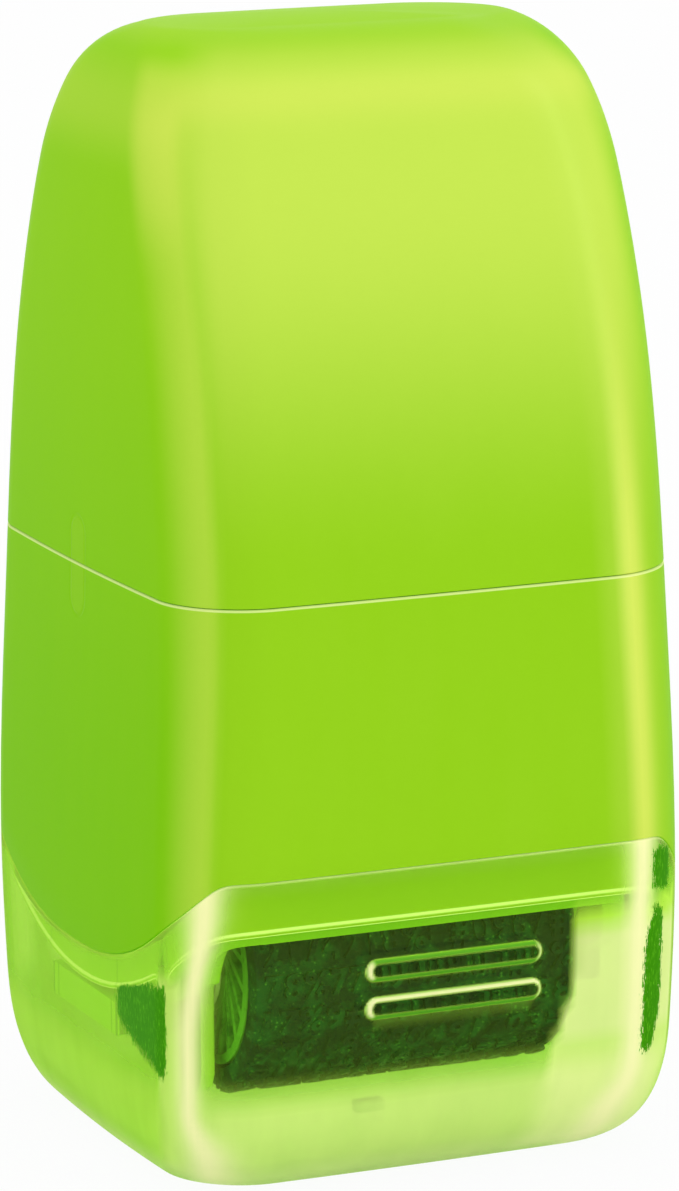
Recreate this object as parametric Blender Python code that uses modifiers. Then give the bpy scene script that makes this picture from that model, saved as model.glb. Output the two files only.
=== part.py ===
# Privacy roller stamp: a tall two-shell housing over a printing cartridge, standing in a translucent cap.
# Metres, +Z up. X runs along the printing drum, the wide front face looks along -Y,
# and the origin is the middle of the cap's flat underside.
import math

import bmesh
import bpy
from mathutils import Matrix, Vector

MM = 0.001

# Outer form of cap, body and handle, which share one smooth skin
HEIGHT = 80.0 * MM
WIDTH = 40.2 * MM
DEPTH = 41.6 * MM
SIDE_BOW = 0.64 * MM
FRONT_BOW = 0.25 * MM
CORNER_LOW = 5.3 * MM
CORNER_HIGH = 6.6 * MM
LEAST_CORNER = 1.0 * MM
CORNER_LIMIT_SHARE = 0.95
CROWN = 0.36 * MM
HEIGHT_SHARES = (0.0, 0.25, 0.5, 0.7, 0.85, 1.0)
WIDTH_SHARES = (0.950, 0.969, 0.931, 0.915, 0.893, 0.839)
DEPTH_SHARES = (0.920, 0.978, 0.979, 0.889, 0.730, 0.505)

# Rounding of the underside and of the top, as an inset that grows over a height
BASE_INSET_X = 4.0 * MM
BASE_RISE_X = 9.1 * MM
BASE_INSET_Y = 6.2 * MM
BASE_RISE_Y = 10.2 * MM
BASE_POWER = 2.5
TOP_INSET_X = 4.6 * MM
TOP_RISE_X = 9.9 * MM
TOP_INSET_Y = 6.0 * MM
TOP_RISE_Y = 4.4 * MM
TOP_POWER = 2.15

# Gap kept between pieces that touch
GAP = 0.3 * MM
OVERRUN = 2.0 * MM

# Cap, whose rim is high on the wide faces and dips on the narrow sides
CAP_WALL = 1.4 * MM
RIM_FRONT = 23.5 * MM
RIM_SIDE = 15.3 * MM
RIM_REACH = 20.5 * MM
RIM_POWER = 2.5
RIM_SHARPNESS = 20.0
RIB_LENGTH_SHARE = 0.331
RIB_WIDTH = 1.5 * MM
RIB_PITCH = 2.75 * MM
RIB_MIDDLE = 15.0 * MM
RIB_OFFSET = 0.4 * MM
RIB_RELIEF = 0.3 * MM
REST_LENGTH = 2.2 * MM
REST_DEPTH = 1.0 * MM
REST_HEIGHT = 1.0 * MM

# Body shell with the neck that stands in the cap and the spigot that stands in the handle
PARTING = 42.5 * MM
NECK_FRONT = 19.4 * MM
NECK_SIDE = 12.4 * MM
NECK_REACH = 19.5 * MM
NECK_POWER = 2.1
NECK_SHARPNESS = 8.0
NECK_WALL = 1.5 * MM
BODY_WALL = 2.0 * MM
NECK_ROOT = 2.6 * MM
HANDLE_WALL = 1.9 * MM
SPIGOT_WALL = 1.4 * MM
SPIGOT_HEIGHT = 4.0 * MM
STOP_WIDTH = 3.0 * MM
STOP_THICK = 1.8 * MM

# Printing drum, whose radius is a share of the case's inner half depth
DRUM_RADIUS_SHARE = 0.637
DRUM_PROUD = 0.33 * MM
DRUM_RELIEF = 0.4 * MM
DRUM_Z = 14.4 * MM
SLEEVE_WALL = 2.1 * MM
CORE_RIM = 1.2 * MM
CORE_HUB_WALL = 1.5 * MM
CORE_WEB = 2.0 * MM
WHEEL_THICK = 2.0 * MM
WHEEL_RIM = 0.9 * MM
WHEEL_HUB_WALL = 1.4 * MM
WHEEL_SPOKES = 18
SPOKE_SHARE = 0.5
SPOKE_SWEEP = math.radians(25.0)
AXLE_RADIUS = 1.4 * MM
MARK_ROWS = 14
MARK_COLUMNS = 6
MARK_LENGTH_SHARE = 0.62
MARK_WIDTH_SHARE = 0.34
MARK_ROOT_SHARE = 0.25

# Ink roller, up and back from the drum, with a radius that is a share as the drum's is
INK_RADIUS_SHARE = 0.365
INK_TILT = math.radians(40.0)
FELT_SHARE = 0.4
INK_AXLE_RADIUS = 1.0 * MM

# Cartridge
CASE_WALL = 1.4 * MM
SKIRT_BELOW_NECK = 1.2 * MM
LID_THICK = 1.4 * MM
BUSH_FLANGE = 0.4 * MM
BUSH_FLANGE_REACH = 1.0 * MM
BUSH_WALL = 0.6 * MM
PLATE_THICK = 1.2 * MM
TONGUE_FRONT = 3.6 * MM
TONGUE_BACK = 3.4 * MM
TONGUE_DEPTH = 9.0 * MM
TONGUE_CORNER = 1.6 * MM
HEEL_SHARE = 0.5
HEEL_ABOVE_TONGUE = 4.6 * MM
PLATE_SIDE_CLEARANCE = 0.76 * MM
PLATE_END_CLEARANCE = 1.87 * MM
PLATE_SHOULDER = 20.0 * MM
PLATE_BRIDGE = 1.35 * MM
BLOCK_WIDTH = 4.6 * MM
BLOCK_LENGTH = 4.6 * MM
SPRING_TRAVEL = 3.6 * MM
SPRING_WIRE_RADIUS = 0.4 * MM

# Release tabs on the narrow sides
TAB_WIDTH_SHARE = 0.3125
TAB_THICK = 1.2 * MM
TAB_BOTTOM = 9.6 * MM
TAB_TOP = 24.0 * MM
TAB_FOOT_HEIGHT = 2.4 * MM

# Fineness of the faceted shapes
CORNER_STEPS = 8
SIDE_STEPS = 8
FRONT_STEPS = 4
ROUND_STEPS = 32
BEND_STEPS = 8
MARK_STEPS = 3
HANDLE_RINGS = (0.0, 0.16, 0.32, 0.48, 0.61, 0.72, 0.81, 0.88, 0.93, 0.965, 0.99, 1.0)
CROWN_RINGS = (0.75, 0.45)
BODY_RINGS = (0.0, 0.35, 0.7, 1.0)
BASE_RINGS = (0.0, 0.03, 0.1, 0.22, 0.42, 0.7, 1.0)
CAP_RINGS = (0.5, 1.0)
MERGE = 0.00001
SMOOTH_ANGLE = math.radians(35.0)
FLAT_ANGLE = math.radians(1.0)

COLLECTION_NAME = "privacy_roller_stamp"
CUTTERS_NAME = "cutters"


# Scene and materials

def clear_scene():
    for item in list(bpy.data.objects):
        bpy.data.objects.remove(item, do_unlink=True)


def new_collection(name):
    collection = bpy.data.collections.new(name)
    bpy.context.scene.collection.children.link(collection)
    return collection


def new_material(name, colour, roughness, metallic=0.0, alpha=1.0):
    material = bpy.data.materials.new(name)
    material.use_nodes = True
    shader = material.node_tree.nodes["Principled BSDF"]
    shader.inputs["Base Color"].default_value = (*colour, 1.0)
    shader.inputs["Roughness"].default_value = roughness
    shader.inputs["Metallic"].default_value = metallic
    shader.inputs["Alpha"].default_value = alpha
    return material


def mesh_object(name, bm, material=None):
    mesh = bpy.data.meshes.new(name)
    bm.to_mesh(mesh)
    bm.free()
    item = bpy.data.objects.new(name, mesh)
    if material is None:
        cutters.objects.link(item)
        item.hide_render = True
        item.display_type = "WIRE"
    else:
        parts.objects.link(item)
        mesh.materials.append(material)
    return item


def boolean(item, tool, operation):
    modifier = item.modifiers.new(tool.name, "BOOLEAN")
    modifier.operation = operation
    modifier.object = tool


def shade_round(item):
    item.data.shade_smooth()
    item.data.set_sharp_from_angle(angle=SMOOTH_ANGLE)


# The shared outer skin

def smooth_share(share, values):
    """Cubic through the hand-chosen shares of HEIGHT_SHARES, with slopes from their neighbours."""
    knots = HEIGHT_SHARES
    share = min(max(share, knots[0]), knots[-1])
    last = len(knots) - 1
    k = max(i for i in range(last) if knots[i] <= share)

    def slope(i):
        low, high = max(i - 1, 0), min(i + 1, last)
        return (values[high] - values[low]) / (knots[high] - knots[low])

    span = knots[k + 1] - knots[k]
    t = (share - knots[k]) / span
    start = values[k] * (1 + 2 * t) * (1 - t) ** 2 + slope(k) * span * t * (1 - t) ** 2
    end = values[k + 1] * t * t * (3 - 2 * t) + slope(k + 1) * span * t * t * (t - 1)
    return start + end


def rounding(inset, rise, height, power):
    """Inset of a rounded edge at a height above its tip."""
    share = min(max((rise - height) / rise, 0.0), 1.0)
    return inset * (1 - (1 - share ** power) ** (1 / power))


def half_sizes(z):
    share = z / HEIGHT
    half_x = WIDTH / 2 * smooth_share(share, WIDTH_SHARES)
    half_y = DEPTH / 2 * smooth_share(share, DEPTH_SHARES)
    half_x -= rounding(BASE_INSET_X, BASE_RISE_X, z, BASE_POWER)
    half_y -= rounding(BASE_INSET_Y, BASE_RISE_Y, z, BASE_POWER)
    half_x -= rounding(TOP_INSET_X, TOP_RISE_X, HEIGHT - z, TOP_POWER)
    half_y -= rounding(TOP_INSET_Y, TOP_RISE_Y, HEIGHT - z, TOP_POWER)
    return half_x, half_y


def corner_radius(z, half_x, half_y, inset):
    share = z / HEIGHT
    radius = CORNER_LOW * (1 - share) + CORNER_HIGH * share - inset
    return min(max(radius, LEAST_CORNER), CORNER_LIMIT_SHARE * min(half_x, half_y))


def perimeter_stations():
    """Stations around the section: corner-centre factors and the direction of the corner radius."""
    signs = [(1, 1), (-1, 1), (-1, -1), (1, -1)]
    stations = []
    for quarter in range(4):
        sign_x, sign_y = signs[quarter]
        next_x, next_y = signs[(quarter + 1) % 4]
        for step in range(CORNER_STEPS + 1):
            angle = (quarter + step / CORNER_STEPS) * math.pi / 2
            stations.append((sign_x, sign_y, angle))
        straight_steps = FRONT_STEPS if sign_y == next_y else SIDE_STEPS
        for step in range(1, straight_steps):
            share = step / straight_steps
            across = sign_x + (next_x - sign_x) * share
            along = sign_y + (next_y - sign_y) * share
            stations.append((across, along, (quarter + 1) * math.pi / 2))
    return stations


STATIONS = perimeter_stations()


def skin_point(station, z, inset=0.0):
    """Point of the outer skin at a station and height, moved in by an inset."""
    factor_x, factor_y, angle = station
    half_x, half_y = half_sizes(z)
    half_x, half_y = half_x - inset, half_y - inset
    radius = corner_radius(z, half_x, half_y, inset)
    x = factor_x * (half_x - radius) + radius * math.cos(angle)
    y = factor_y * (half_y - radius) + radius * math.sin(angle)
    bowed_x = x * (1 + SIDE_BOW / half_x * (1 - (y / half_y) ** 2))
    bowed_y = y * (1 + FRONT_BOW / half_y * (1 - (x / half_x) ** 2))
    return Vector((bowed_x, bowed_y, z))


def run_from_side(station):
    """Length along the section from the middle of the nearest narrow side."""
    factor_x, factor_y, angle = station
    half_x, half_y = half_sizes(RIM_FRONT)
    radius = corner_radius(RIM_FRONT, half_x, half_y, 0.0)
    swing = math.atan2(abs(math.sin(angle)), abs(math.cos(angle)))
    flat = (half_y - radius) * abs(factor_y) + (half_x - radius) * (1 - abs(factor_x))
    return flat + radius * swing


def dipping_edge(station, side, front, reach, power, sharpness):
    """Height of an edge that is level on the wide faces and dips in an arc on the narrow sides."""
    share = (run_from_side(station) / reach) ** power
    eased = share / (1 + share ** sharpness) ** (1 / sharpness)
    return side + (front - side) * eased


def rim_height(station):
    return dipping_edge(station, RIM_SIDE, RIM_FRONT, RIM_REACH, RIM_POWER, RIM_SHARPNESS)


def neck_height(station):
    return dipping_edge(station, NECK_SIDE, NECK_FRONT, NECK_REACH, NECK_POWER, NECK_SHARPNESS)


def ring(height, inset=0.0, skin_height=None):
    """A ring of points: height is a value or a function of the station."""
    points = []
    for station in STATIONS:
        z = height(station) if callable(height) else height
        point = skin_point(station, z if skin_height is None else skin_height, inset)
        points.append(Vector((point.x, point.y, z)))
    return points


def blended_rings(low, high, shares, inset=0.0):
    """Rings between two edges, each of which is a value or a function of the station."""
    def between(share):
        def height(station):
            start = low(station) if callable(low) else low
            end = high(station) if callable(high) else high
            return start + (end - start) * share
        return height
    return [ring(between(share), inset) for share in shares]


def loft(rings, closed=False, start_face=False, end_face=False):
    """Skin through rings of equal count, from the first ring to the last."""
    bm = bmesh.new()
    loops = [[bm.verts.new(point) for point in points] for points in rings]
    pairs = list(zip(loops, loops[1:]))
    if closed:
        pairs.append((loops[-1], loops[0]))
    count = len(loops[0])
    for low, high in pairs:
        for i in range(count):
            j = (i + 1) % count
            bm.faces.new((low[i], low[j], high[j], high[i]))
    if start_face:
        bm.faces.new(list(reversed(loops[0])))
    if end_face:
        bm.faces.new(loops[-1])
    return bm


# Places that follow from the sizes and the skin, worked from the outside in

NECK_INSET = CAP_WALL + GAP
NECK_INNER_INSET = NECK_INSET + NECK_WALL
SPIGOT_INSET = HANDLE_WALL + GAP
SPIGOT_INNER_INSET = SPIGOT_INSET + SPIGOT_WALL
STOP_INSET = BODY_WALL + STOP_WIDTH
CASE_INSET = NECK_INNER_INSET + GAP
CASE_INNER_INSET = CASE_INSET + CASE_WALL
SIDE_HALF_X = half_sizes(NECK_SIDE)[0] + SIDE_BOW
SIDE_HALF_Y = half_sizes(NECK_SIDE)[1]
CASE_HALF_X = SIDE_HALF_X - CASE_INNER_INSET
CASE_HALF_Y = SIDE_HALF_Y - CASE_INNER_INSET

PLATE_OUTER = CASE_HALF_X - PLATE_SIDE_CLEARANCE
PLATE_INNER = PLATE_OUTER - PLATE_THICK
PLATE_HALF_DEPTH = CASE_HALF_Y - PLATE_END_CLEARANCE
FLANGE_FACE = PLATE_INNER - GAP - BUSH_FLANGE
BORE_RADIUS = AXLE_RADIUS + GAP
BUSH_RADIUS = BORE_RADIUS + BUSH_WALL
TAB_WIDTH = TAB_WIDTH_SHARE * DEPTH
TAB_INNER = CASE_HALF_X + GAP / 2
TAB_OUTER = TAB_INNER + TAB_THICK
TAB_HINGE = (TAB_INNER + TAB_OUTER) / 2
RIB_LENGTH = RIB_LENGTH_SHARE * WIDTH

DRUM_HALF_LENGTH = FLANGE_FACE - GAP
DRUM_RADIUS = DRUM_RADIUS_SHARE * CASE_HALF_Y
DRUM_Y = DRUM_RADIUS - CASE_HALF_Y - DRUM_PROUD
SLEEVE_INNER = DRUM_RADIUS - DRUM_RELIEF - SLEEVE_WALL
WHEEL_RADIUS = SLEEVE_INNER - GAP
CORE_HALF_LENGTH = DRUM_HALF_LENGTH - WHEEL_THICK - GAP

INK_RADIUS = INK_RADIUS_SHARE * CASE_HALF_Y
INK_REACH = DRUM_RADIUS + GAP + INK_RADIUS
INK_Y = DRUM_Y + INK_REACH * math.sin(INK_TILT)
INK_Z = DRUM_Z + INK_REACH * math.cos(INK_TILT)
INK_BORE_RADIUS = INK_AXLE_RADIUS + GAP
FELT_INNER = INK_RADIUS * (1 - FELT_SHARE)
INK_CORE_RADIUS = FELT_INNER - GAP
SLOT_NEAR = -BLOCK_LENGTH / 2 - GAP
SLOT_FAR = BLOCK_LENGTH / 2 + GAP + SPRING_TRAVEL + GAP
SLOT_HALF_WIDTH = BLOCK_WIDTH / 2 + GAP
SLOT_TOP = INK_Z + SLOT_FAR * math.cos(INK_TILT) + SLOT_HALF_WIDTH * math.sin(INK_TILT)

CASE_TOP = SLOT_TOP + PLATE_BRIDGE
LID_UNDERSIDE = CASE_TOP + GAP
LID_TOP = LID_UNDERSIDE + LID_THICK
STOP_UNDERSIDE = LID_TOP + GAP


# Simple solids

def box(low, high):
    bm = bmesh.new()
    low, high = Vector(low), Vector(high)
    size = high - low
    matrix = Matrix.Translation((low + high) / 2) @ Matrix.Diagonal((*size, 1.0))
    bmesh.ops.create_cube(bm, size=1.0, matrix=matrix)
    return bm


def rod(radius, half_length, steps=ROUND_STEPS):
    """A cylinder along X, centred on the origin."""
    bm = bmesh.new()
    turn = Matrix.Rotation(math.pi / 2, 4, "Y")
    bmesh.ops.create_cone(bm, cap_ends=True, segments=steps, radius1=radius, radius2=radius,
                          depth=2 * half_length, matrix=turn)
    return bm


def turned(name, profile, place, side, material, steps=ROUND_STEPS):
    """A ring-shaped piece turned about X: profile runs down the outer side and back up the bore."""
    bm = bmesh.new()
    points = [bm.verts.new((radius, 0.0, along)) for radius, along in profile]
    for start, end in zip(points, points[1:] + points[:1]):
        bm.edges.new((start, end))
    item = mesh_object(name, bm, material)
    screw = item.modifiers.new("turn", "SCREW")
    screw.axis = "Z"
    screw.angle = 2 * math.pi
    screw.steps = steps
    screw.render_steps = steps
    screw.use_merge_vertices = True
    screw.merge_threshold = MERGE
    item.location = place
    item.rotation_euler = (0.0, side * math.pi / 2, 0.0)
    return item


def tube_profile(outer, inner, low, high):
    return [(outer, high), (outer, low), (inner, low), (inner, high)]


def flat_prism(outline, low, high):
    """Extrudes an outline in the YZ plane along X, between two values of X."""
    bm = bmesh.new()
    verts = [bm.verts.new((low, y, z)) for y, z in outline]
    face = bm.faces.new(verts)
    grown = bmesh.ops.extrude_face_region(bm, geom=[face])
    moved = [v for v in grown["geom"] if isinstance(v, bmesh.types.BMVert)]
    bmesh.ops.translate(bm, verts=moved, vec=(high - low, 0.0, 0.0))
    bmesh.ops.recalc_face_normals(bm, faces=bm.faces)
    return bm


def along_ink_line(along, across=0.0):
    """Point (y, z) at a distance from the ink roller's axis, along the line away from the drum."""
    y = INK_Y + along * math.sin(INK_TILT) - across * math.cos(INK_TILT)
    z = INK_Z + along * math.cos(INK_TILT) + across * math.sin(INK_TILT)
    return y, z


def ink_line_rectangle(near, far, half_width):
    corners = [(near, -half_width), (far, -half_width), (far, half_width), (near, half_width)]
    return [along_ink_line(along, across) for along, across in corners]


# Housing

def make_handle_shell():
    low = PARTING + GAP / 2
    rings = blended_rings(low, HEIGHT, HANDLE_RINGS)
    for share in CROWN_RINGS:
        lifted = HEIGHT + CROWN * (1 - share * share)
        rings.append([Vector((p.x * share, p.y * share, lifted)) for p in ring(HEIGHT)])
    shell = mesh_object("handle_shell", loft(rings, end_face=True), body_green)
    solidify = shell.modifiers.new("wall", "SOLIDIFY")
    solidify.thickness = HANDLE_WALL
    solidify.offset = -1.0
    solidify.use_even_offset = True
    shade_round(shell)


def make_body_shell():
    def shoulder(station):
        return rim_height(station) + GAP

    top = PARTING - GAP / 2
    spigot_top = PARTING + SPIGOT_HEIGHT
    stop_top = STOP_UNDERSIDE + STOP_THICK
    neck_root = RIM_FRONT + NECK_ROOT
    wall_start = neck_root + NECK_WALL
    rings = blended_rings(shoulder, top, BODY_RINGS)
    rings += [ring(top, SPIGOT_INSET), ring(spigot_top, SPIGOT_INSET)]
    rings += [ring(spigot_top, SPIGOT_INNER_INSET), ring(stop_top, SPIGOT_INNER_INSET)]
    rings += [ring(stop_top, STOP_INSET), ring(STOP_UNDERSIDE, STOP_INSET)]
    rings += [ring(STOP_UNDERSIDE, BODY_WALL), ring(wall_start, BODY_WALL)]
    rings += [ring(neck_root, NECK_INNER_INSET), ring(neck_height, NECK_INNER_INSET)]
    rings += [ring(neck_height, NECK_INSET), ring(shoulder, NECK_INSET)]
    shell = mesh_object("body_shell", loft(rings, closed=True), body_green)
    shade_round(shell)


# Cap

def make_rib(index):
    """One raised bar with round ends on the cap's front."""
    middle_z = RIB_MIDDLE + (index - 0.5) * RIB_PITCH
    front = -half_sizes(middle_z)[1] - FRONT_BOW
    depth = RIB_RELIEF + CAP_WALL / 2
    turn = Matrix.Rotation(math.pi / 2, 4, "X")
    bm = bmesh.new()
    for side in (-1, 1):
        middle_x = RIB_OFFSET + side * (RIB_LENGTH - RIB_WIDTH) / 2
        place = Matrix.Translation((middle_x, front - RIB_RELIEF + depth / 2, middle_z))
        bmesh.ops.create_cone(bm, cap_ends=True, segments=ROUND_STEPS // 2, radius1=RIB_WIDTH / 2,
                              radius2=RIB_WIDTH / 2, depth=depth, matrix=place @ turn)
    hull = bmesh.ops.convex_hull(bm, input=bm.verts)
    spare = [item for item in hull["geom_interior"] if item.is_valid]
    bmesh.ops.delete(bm, geom=spare, context="VERTS")
    bmesh.ops.dissolve_limit(bm, angle_limit=FLAT_ANGLE, verts=bm.verts, edges=bm.edges)
    return mesh_object(f"rib_{index + 1}", bm)


def make_cap_shell():
    rings = [ring(BASE_RISE_Y * share) for share in BASE_RINGS]
    rings += blended_rings(BASE_RISE_Y, rim_height, CAP_RINGS)
    cap = mesh_object("cap_shell", loft(rings, start_face=True), cap_green)
    solidify = cap.modifiers.new("wall", "SOLIDIFY")
    solidify.thickness = CAP_WALL
    solidify.offset = -1.0
    solidify.use_even_offset = True
    for index in range(2):
        boolean(cap, make_rib(index), "UNION")
    half_x, half_y = REST_LENGTH / 2, REST_DEPTH / 2
    low = (-half_x, DRUM_Y - half_y, CAP_WALL / 2)
    high = (half_x, DRUM_Y + half_y, CAP_WALL + REST_HEIGHT)
    boolean(cap, mesh_object("drum_rest", box(low, high)), "UNION")
    shade_round(cap)


# Cartridge

def skirt_height(station):
    return neck_height(station) - SKIRT_BELOW_NECK


def make_cartridge_case():
    rings = [ring(skirt_height, CASE_INSET, NECK_SIDE), ring(CASE_TOP, CASE_INSET, NECK_SIDE),
             ring(CASE_TOP, CASE_INNER_INSET, NECK_SIDE), ring(skirt_height, CASE_INNER_INSET, NECK_SIDE)]
    case = mesh_object("cartridge_case", loft(rings, closed=True), frame_green)
    half_y = TAB_WIDTH / 2 + GAP
    for side in (-1, 1):
        reach = sorted((side * (PLATE_OUTER - GAP), side * WIDTH / 2))
        low = (reach[0], -half_y, -OVERRUN)
        high = (reach[1], half_y, TAB_TOP + GAP)
        name = "left_tab_slot" if side < 0 else "right_tab_slot"
        boolean(case, mesh_object(name, box(low, high)), "DIFFERENCE")
    shade_round(case)


def make_cartridge_lid():
    rings = [ring(LID_UNDERSIDE, CASE_INSET, NECK_SIDE), ring(LID_TOP, CASE_INSET, NECK_SIDE)]
    lid = mesh_object("cartridge_lid", loft(rings, start_face=True, end_face=True), frame_green)
    shade_round(lid)


def make_side_plate(side):
    """Plate with a tongue that carries the drum's axle and a slot for the ink roller's block."""
    name = "left" if side < 0 else "right"
    front = DRUM_Y - TONGUE_FRONT
    foot = DRUM_Z - TONGUE_DEPTH
    outline = [(front, foot + TONGUE_CORNER), (front + TONGUE_CORNER / 3, foot + TONGUE_CORNER / 3),
               (front + TONGUE_CORNER, foot), (DRUM_Y + TONGUE_BACK, foot),
               (HEEL_SHARE * PLATE_HALF_DEPTH, foot + HEEL_ABOVE_TONGUE),
               (PLATE_HALF_DEPTH, PLATE_SHOULDER), (PLATE_HALF_DEPTH, CASE_TOP),
               (-PLATE_HALF_DEPTH, CASE_TOP), (-PLATE_HALF_DEPTH, PLATE_SHOULDER), (front, DRUM_Z)]
    low, high = sorted((side * PLATE_INNER, side * PLATE_OUTER))
    plate = mesh_object(f"{name}_side_plate", flat_prism(outline, low, high), frame_green)
    middle = side * (PLATE_INNER + PLATE_OUTER) / 2
    hole = rod(BUSH_RADIUS + GAP, PLATE_THICK / 2 + OVERRUN)
    bmesh.ops.translate(hole, verts=hole.verts, vec=(middle, DRUM_Y, DRUM_Z))
    boolean(plate, mesh_object(f"{name}_bush_hole", hole), "DIFFERENCE")
    outline = ink_line_rectangle(SLOT_NEAR, SLOT_FAR, SLOT_HALF_WIDTH)
    slot = flat_prism(outline, middle - PLATE_THICK, middle + PLATE_THICK)
    boolean(plate, mesh_object(f"{name}_block_slot", slot), "DIFFERENCE")
    shade_round(plate)


def make_ink_block(side):
    """Bearing block of the ink roller's axle, which slides in the side plate's slot."""
    name = "left" if side < 0 else "right"
    low, high = sorted((side * PLATE_INNER, side * PLATE_OUTER))
    outline = ink_line_rectangle(-BLOCK_LENGTH / 2, BLOCK_LENGTH / 2, BLOCK_WIDTH / 2)
    block = mesh_object(f"{name}_ink_block", flat_prism(outline, low, high), bearing_white)
    hole = rod(INK_BORE_RADIUS, PLATE_THICK / 2 + OVERRUN)
    bmesh.ops.translate(hole, verts=hole.verts, vec=((low + high) / 2, INK_Y, INK_Z))
    boolean(block, mesh_object(f"{name}_block_bore", hole), "DIFFERENCE")


def make_ink_spring(side):
    """Hairpin of spring wire: its bend presses the block, its legs stand on the slot's far end."""
    name = "left" if side < 0 else "right"
    middle = side * (PLATE_INNER + PLATE_OUTER) / 2
    bend_radius = BLOCK_WIDTH / 2 - SPRING_WIRE_RADIUS
    near = BLOCK_LENGTH / 2 + GAP + SPRING_WIRE_RADIUS
    leg_start = near + bend_radius
    leg_end = SLOT_FAR - GAP
    path = [(leg_end, -bend_radius)]
    for step in range(BEND_STEPS + 1):
        angle = math.pi * step / BEND_STEPS
        path.append((leg_start - bend_radius * math.sin(angle), -bend_radius * math.cos(angle)))
    path.append((leg_end, bend_radius))
    curve = bpy.data.curves.new(f"{name}_ink_spring", "CURVE")
    curve.dimensions = "3D"
    curve.bevel_depth = SPRING_WIRE_RADIUS
    curve.bevel_resolution = 2
    curve.use_fill_caps = True
    spline = curve.splines.new("POLY")
    spline.points.add(len(path) - 1)
    for point, (along, across) in zip(spline.points, path):
        y, z = along_ink_line(along, across)
        point.co = (middle, y, z, 1.0)
    curve.materials.append(steel)
    spring = bpy.data.objects.new(f"{name}_ink_spring", curve)
    parts.objects.link(spring)


def make_drum_bush(side):
    """Flanged bush of the drum's axle, pushed into the side plate from the drum's side."""
    name = "left" if side < 0 else "right"
    flange_back = FLANGE_FACE + BUSH_FLANGE
    flange_radius = BUSH_RADIUS + BUSH_FLANGE_REACH
    profile = [(BUSH_RADIUS, PLATE_OUTER), (BUSH_RADIUS, flange_back), (flange_radius, flange_back),
               (flange_radius, FLANGE_FACE), (BORE_RADIUS, FLANGE_FACE), (BORE_RADIUS, PLATE_OUTER)]
    bush = turned(f"{name}_drum_bush", profile, (0.0, DRUM_Y, DRUM_Z), side, bearing_white)
    shade_round(bush)


def make_release_tab(side):
    """Springy leg in the case's side wall with a finger foot below the neck, on its bending line."""
    name = "left" if side < 0 else "right"
    bow_lost = SIDE_BOW * (TAB_WIDTH / 2 / SIDE_HALF_Y) ** 2
    foot_outer = SIDE_HALF_X - bow_lost - NECK_INSET
    foot_top = TAB_BOTTOM + TAB_FOOT_HEIGHT
    outline = [(TAB_INNER, TAB_BOTTOM), (foot_outer, TAB_BOTTOM), (foot_outer, foot_top),
               (TAB_OUTER, foot_top), (TAB_OUTER, TAB_TOP), (TAB_INNER, TAB_TOP)]
    bm = bmesh.new()
    verts = [bm.verts.new((side * (x - TAB_HINGE), -TAB_WIDTH / 2, z - TAB_TOP)) for x, z in outline]
    grown = bmesh.ops.extrude_face_region(bm, geom=[bm.faces.new(verts)])
    moved = [v for v in grown["geom"] if isinstance(v, bmesh.types.BMVert)]
    bmesh.ops.translate(bm, verts=moved, vec=(0.0, TAB_WIDTH, 0.0))
    bmesh.ops.recalc_face_normals(bm, faces=bm.faces)
    tab = mesh_object(f"{name}_release_tab", bm, frame_green)
    tab.location = (side * TAB_HINGE, 0.0, TAB_TOP)


# Drum

def make_drum_core():
    """Spool with a rim, a web and a hub that turns on the axle."""
    rim_inner = WHEEL_RADIUS - CORE_RIM
    hub = BORE_RADIUS + CORE_HUB_WALL
    end, web = CORE_HALF_LENGTH, CORE_WEB / 2
    profile = [(WHEEL_RADIUS, end), (WHEEL_RADIUS, -end), (rim_inner, -end), (rim_inner, -web),
               (hub, -web), (hub, -end), (BORE_RADIUS, -end), (BORE_RADIUS, end),
               (hub, end), (hub, web), (rim_inner, web), (rim_inner, end)]
    core = turned("drum_core", profile, (0.0, DRUM_Y, DRUM_Z), 1, drum_dark)
    shade_round(core)


def make_drum_sleeve():
    """Rubber sleeve with rows of plain raised marks."""
    base = DRUM_RADIUS - DRUM_RELIEF
    steps = MARK_ROWS * MARK_STEPS
    profile = tube_profile(base, SLEEVE_INNER, -DRUM_HALF_LENGTH, DRUM_HALF_LENGTH)
    sleeve = turned("drum_sleeve", profile, (0.0, DRUM_Y, DRUM_Z), 1, rubber_dark, steps)
    pitch = 2 * DRUM_HALF_LENGTH / MARK_COLUMNS
    length = pitch * MARK_LENGTH_SHARE
    width = 2 * math.pi * base / MARK_ROWS * MARK_WIDTH_SHARE
    depth = DRUM_RELIEF + SLEEVE_WALL * MARK_ROOT_SHARE
    top = math.sqrt(DRUM_RADIUS ** 2 - (width / 2) ** 2)
    bm = bmesh.new()
    for row in range(MARK_ROWS):
        turn = Matrix.Rotation(2 * math.pi * (row + 0.5) / MARK_ROWS, 4, "Z")
        shift = pitch / 4 if row % 2 else -pitch / 4
        for column in range(MARK_COLUMNS):
            along = (column + 0.5) * pitch - DRUM_HALF_LENGTH + shift / 2
            place = Matrix.Translation((top - depth / 2, 0.0, along))
            size = Matrix.Diagonal((depth, width, length, 1.0))
            bmesh.ops.create_cube(bm, size=1.0, matrix=turn @ place @ size)
    marks = mesh_object("raised_marks", bm)
    marks.location = sleeve.location
    marks.rotation_euler = sleeve.rotation_euler
    boolean(sleeve, marks, "UNION")
    shade_round(sleeve)


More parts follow.
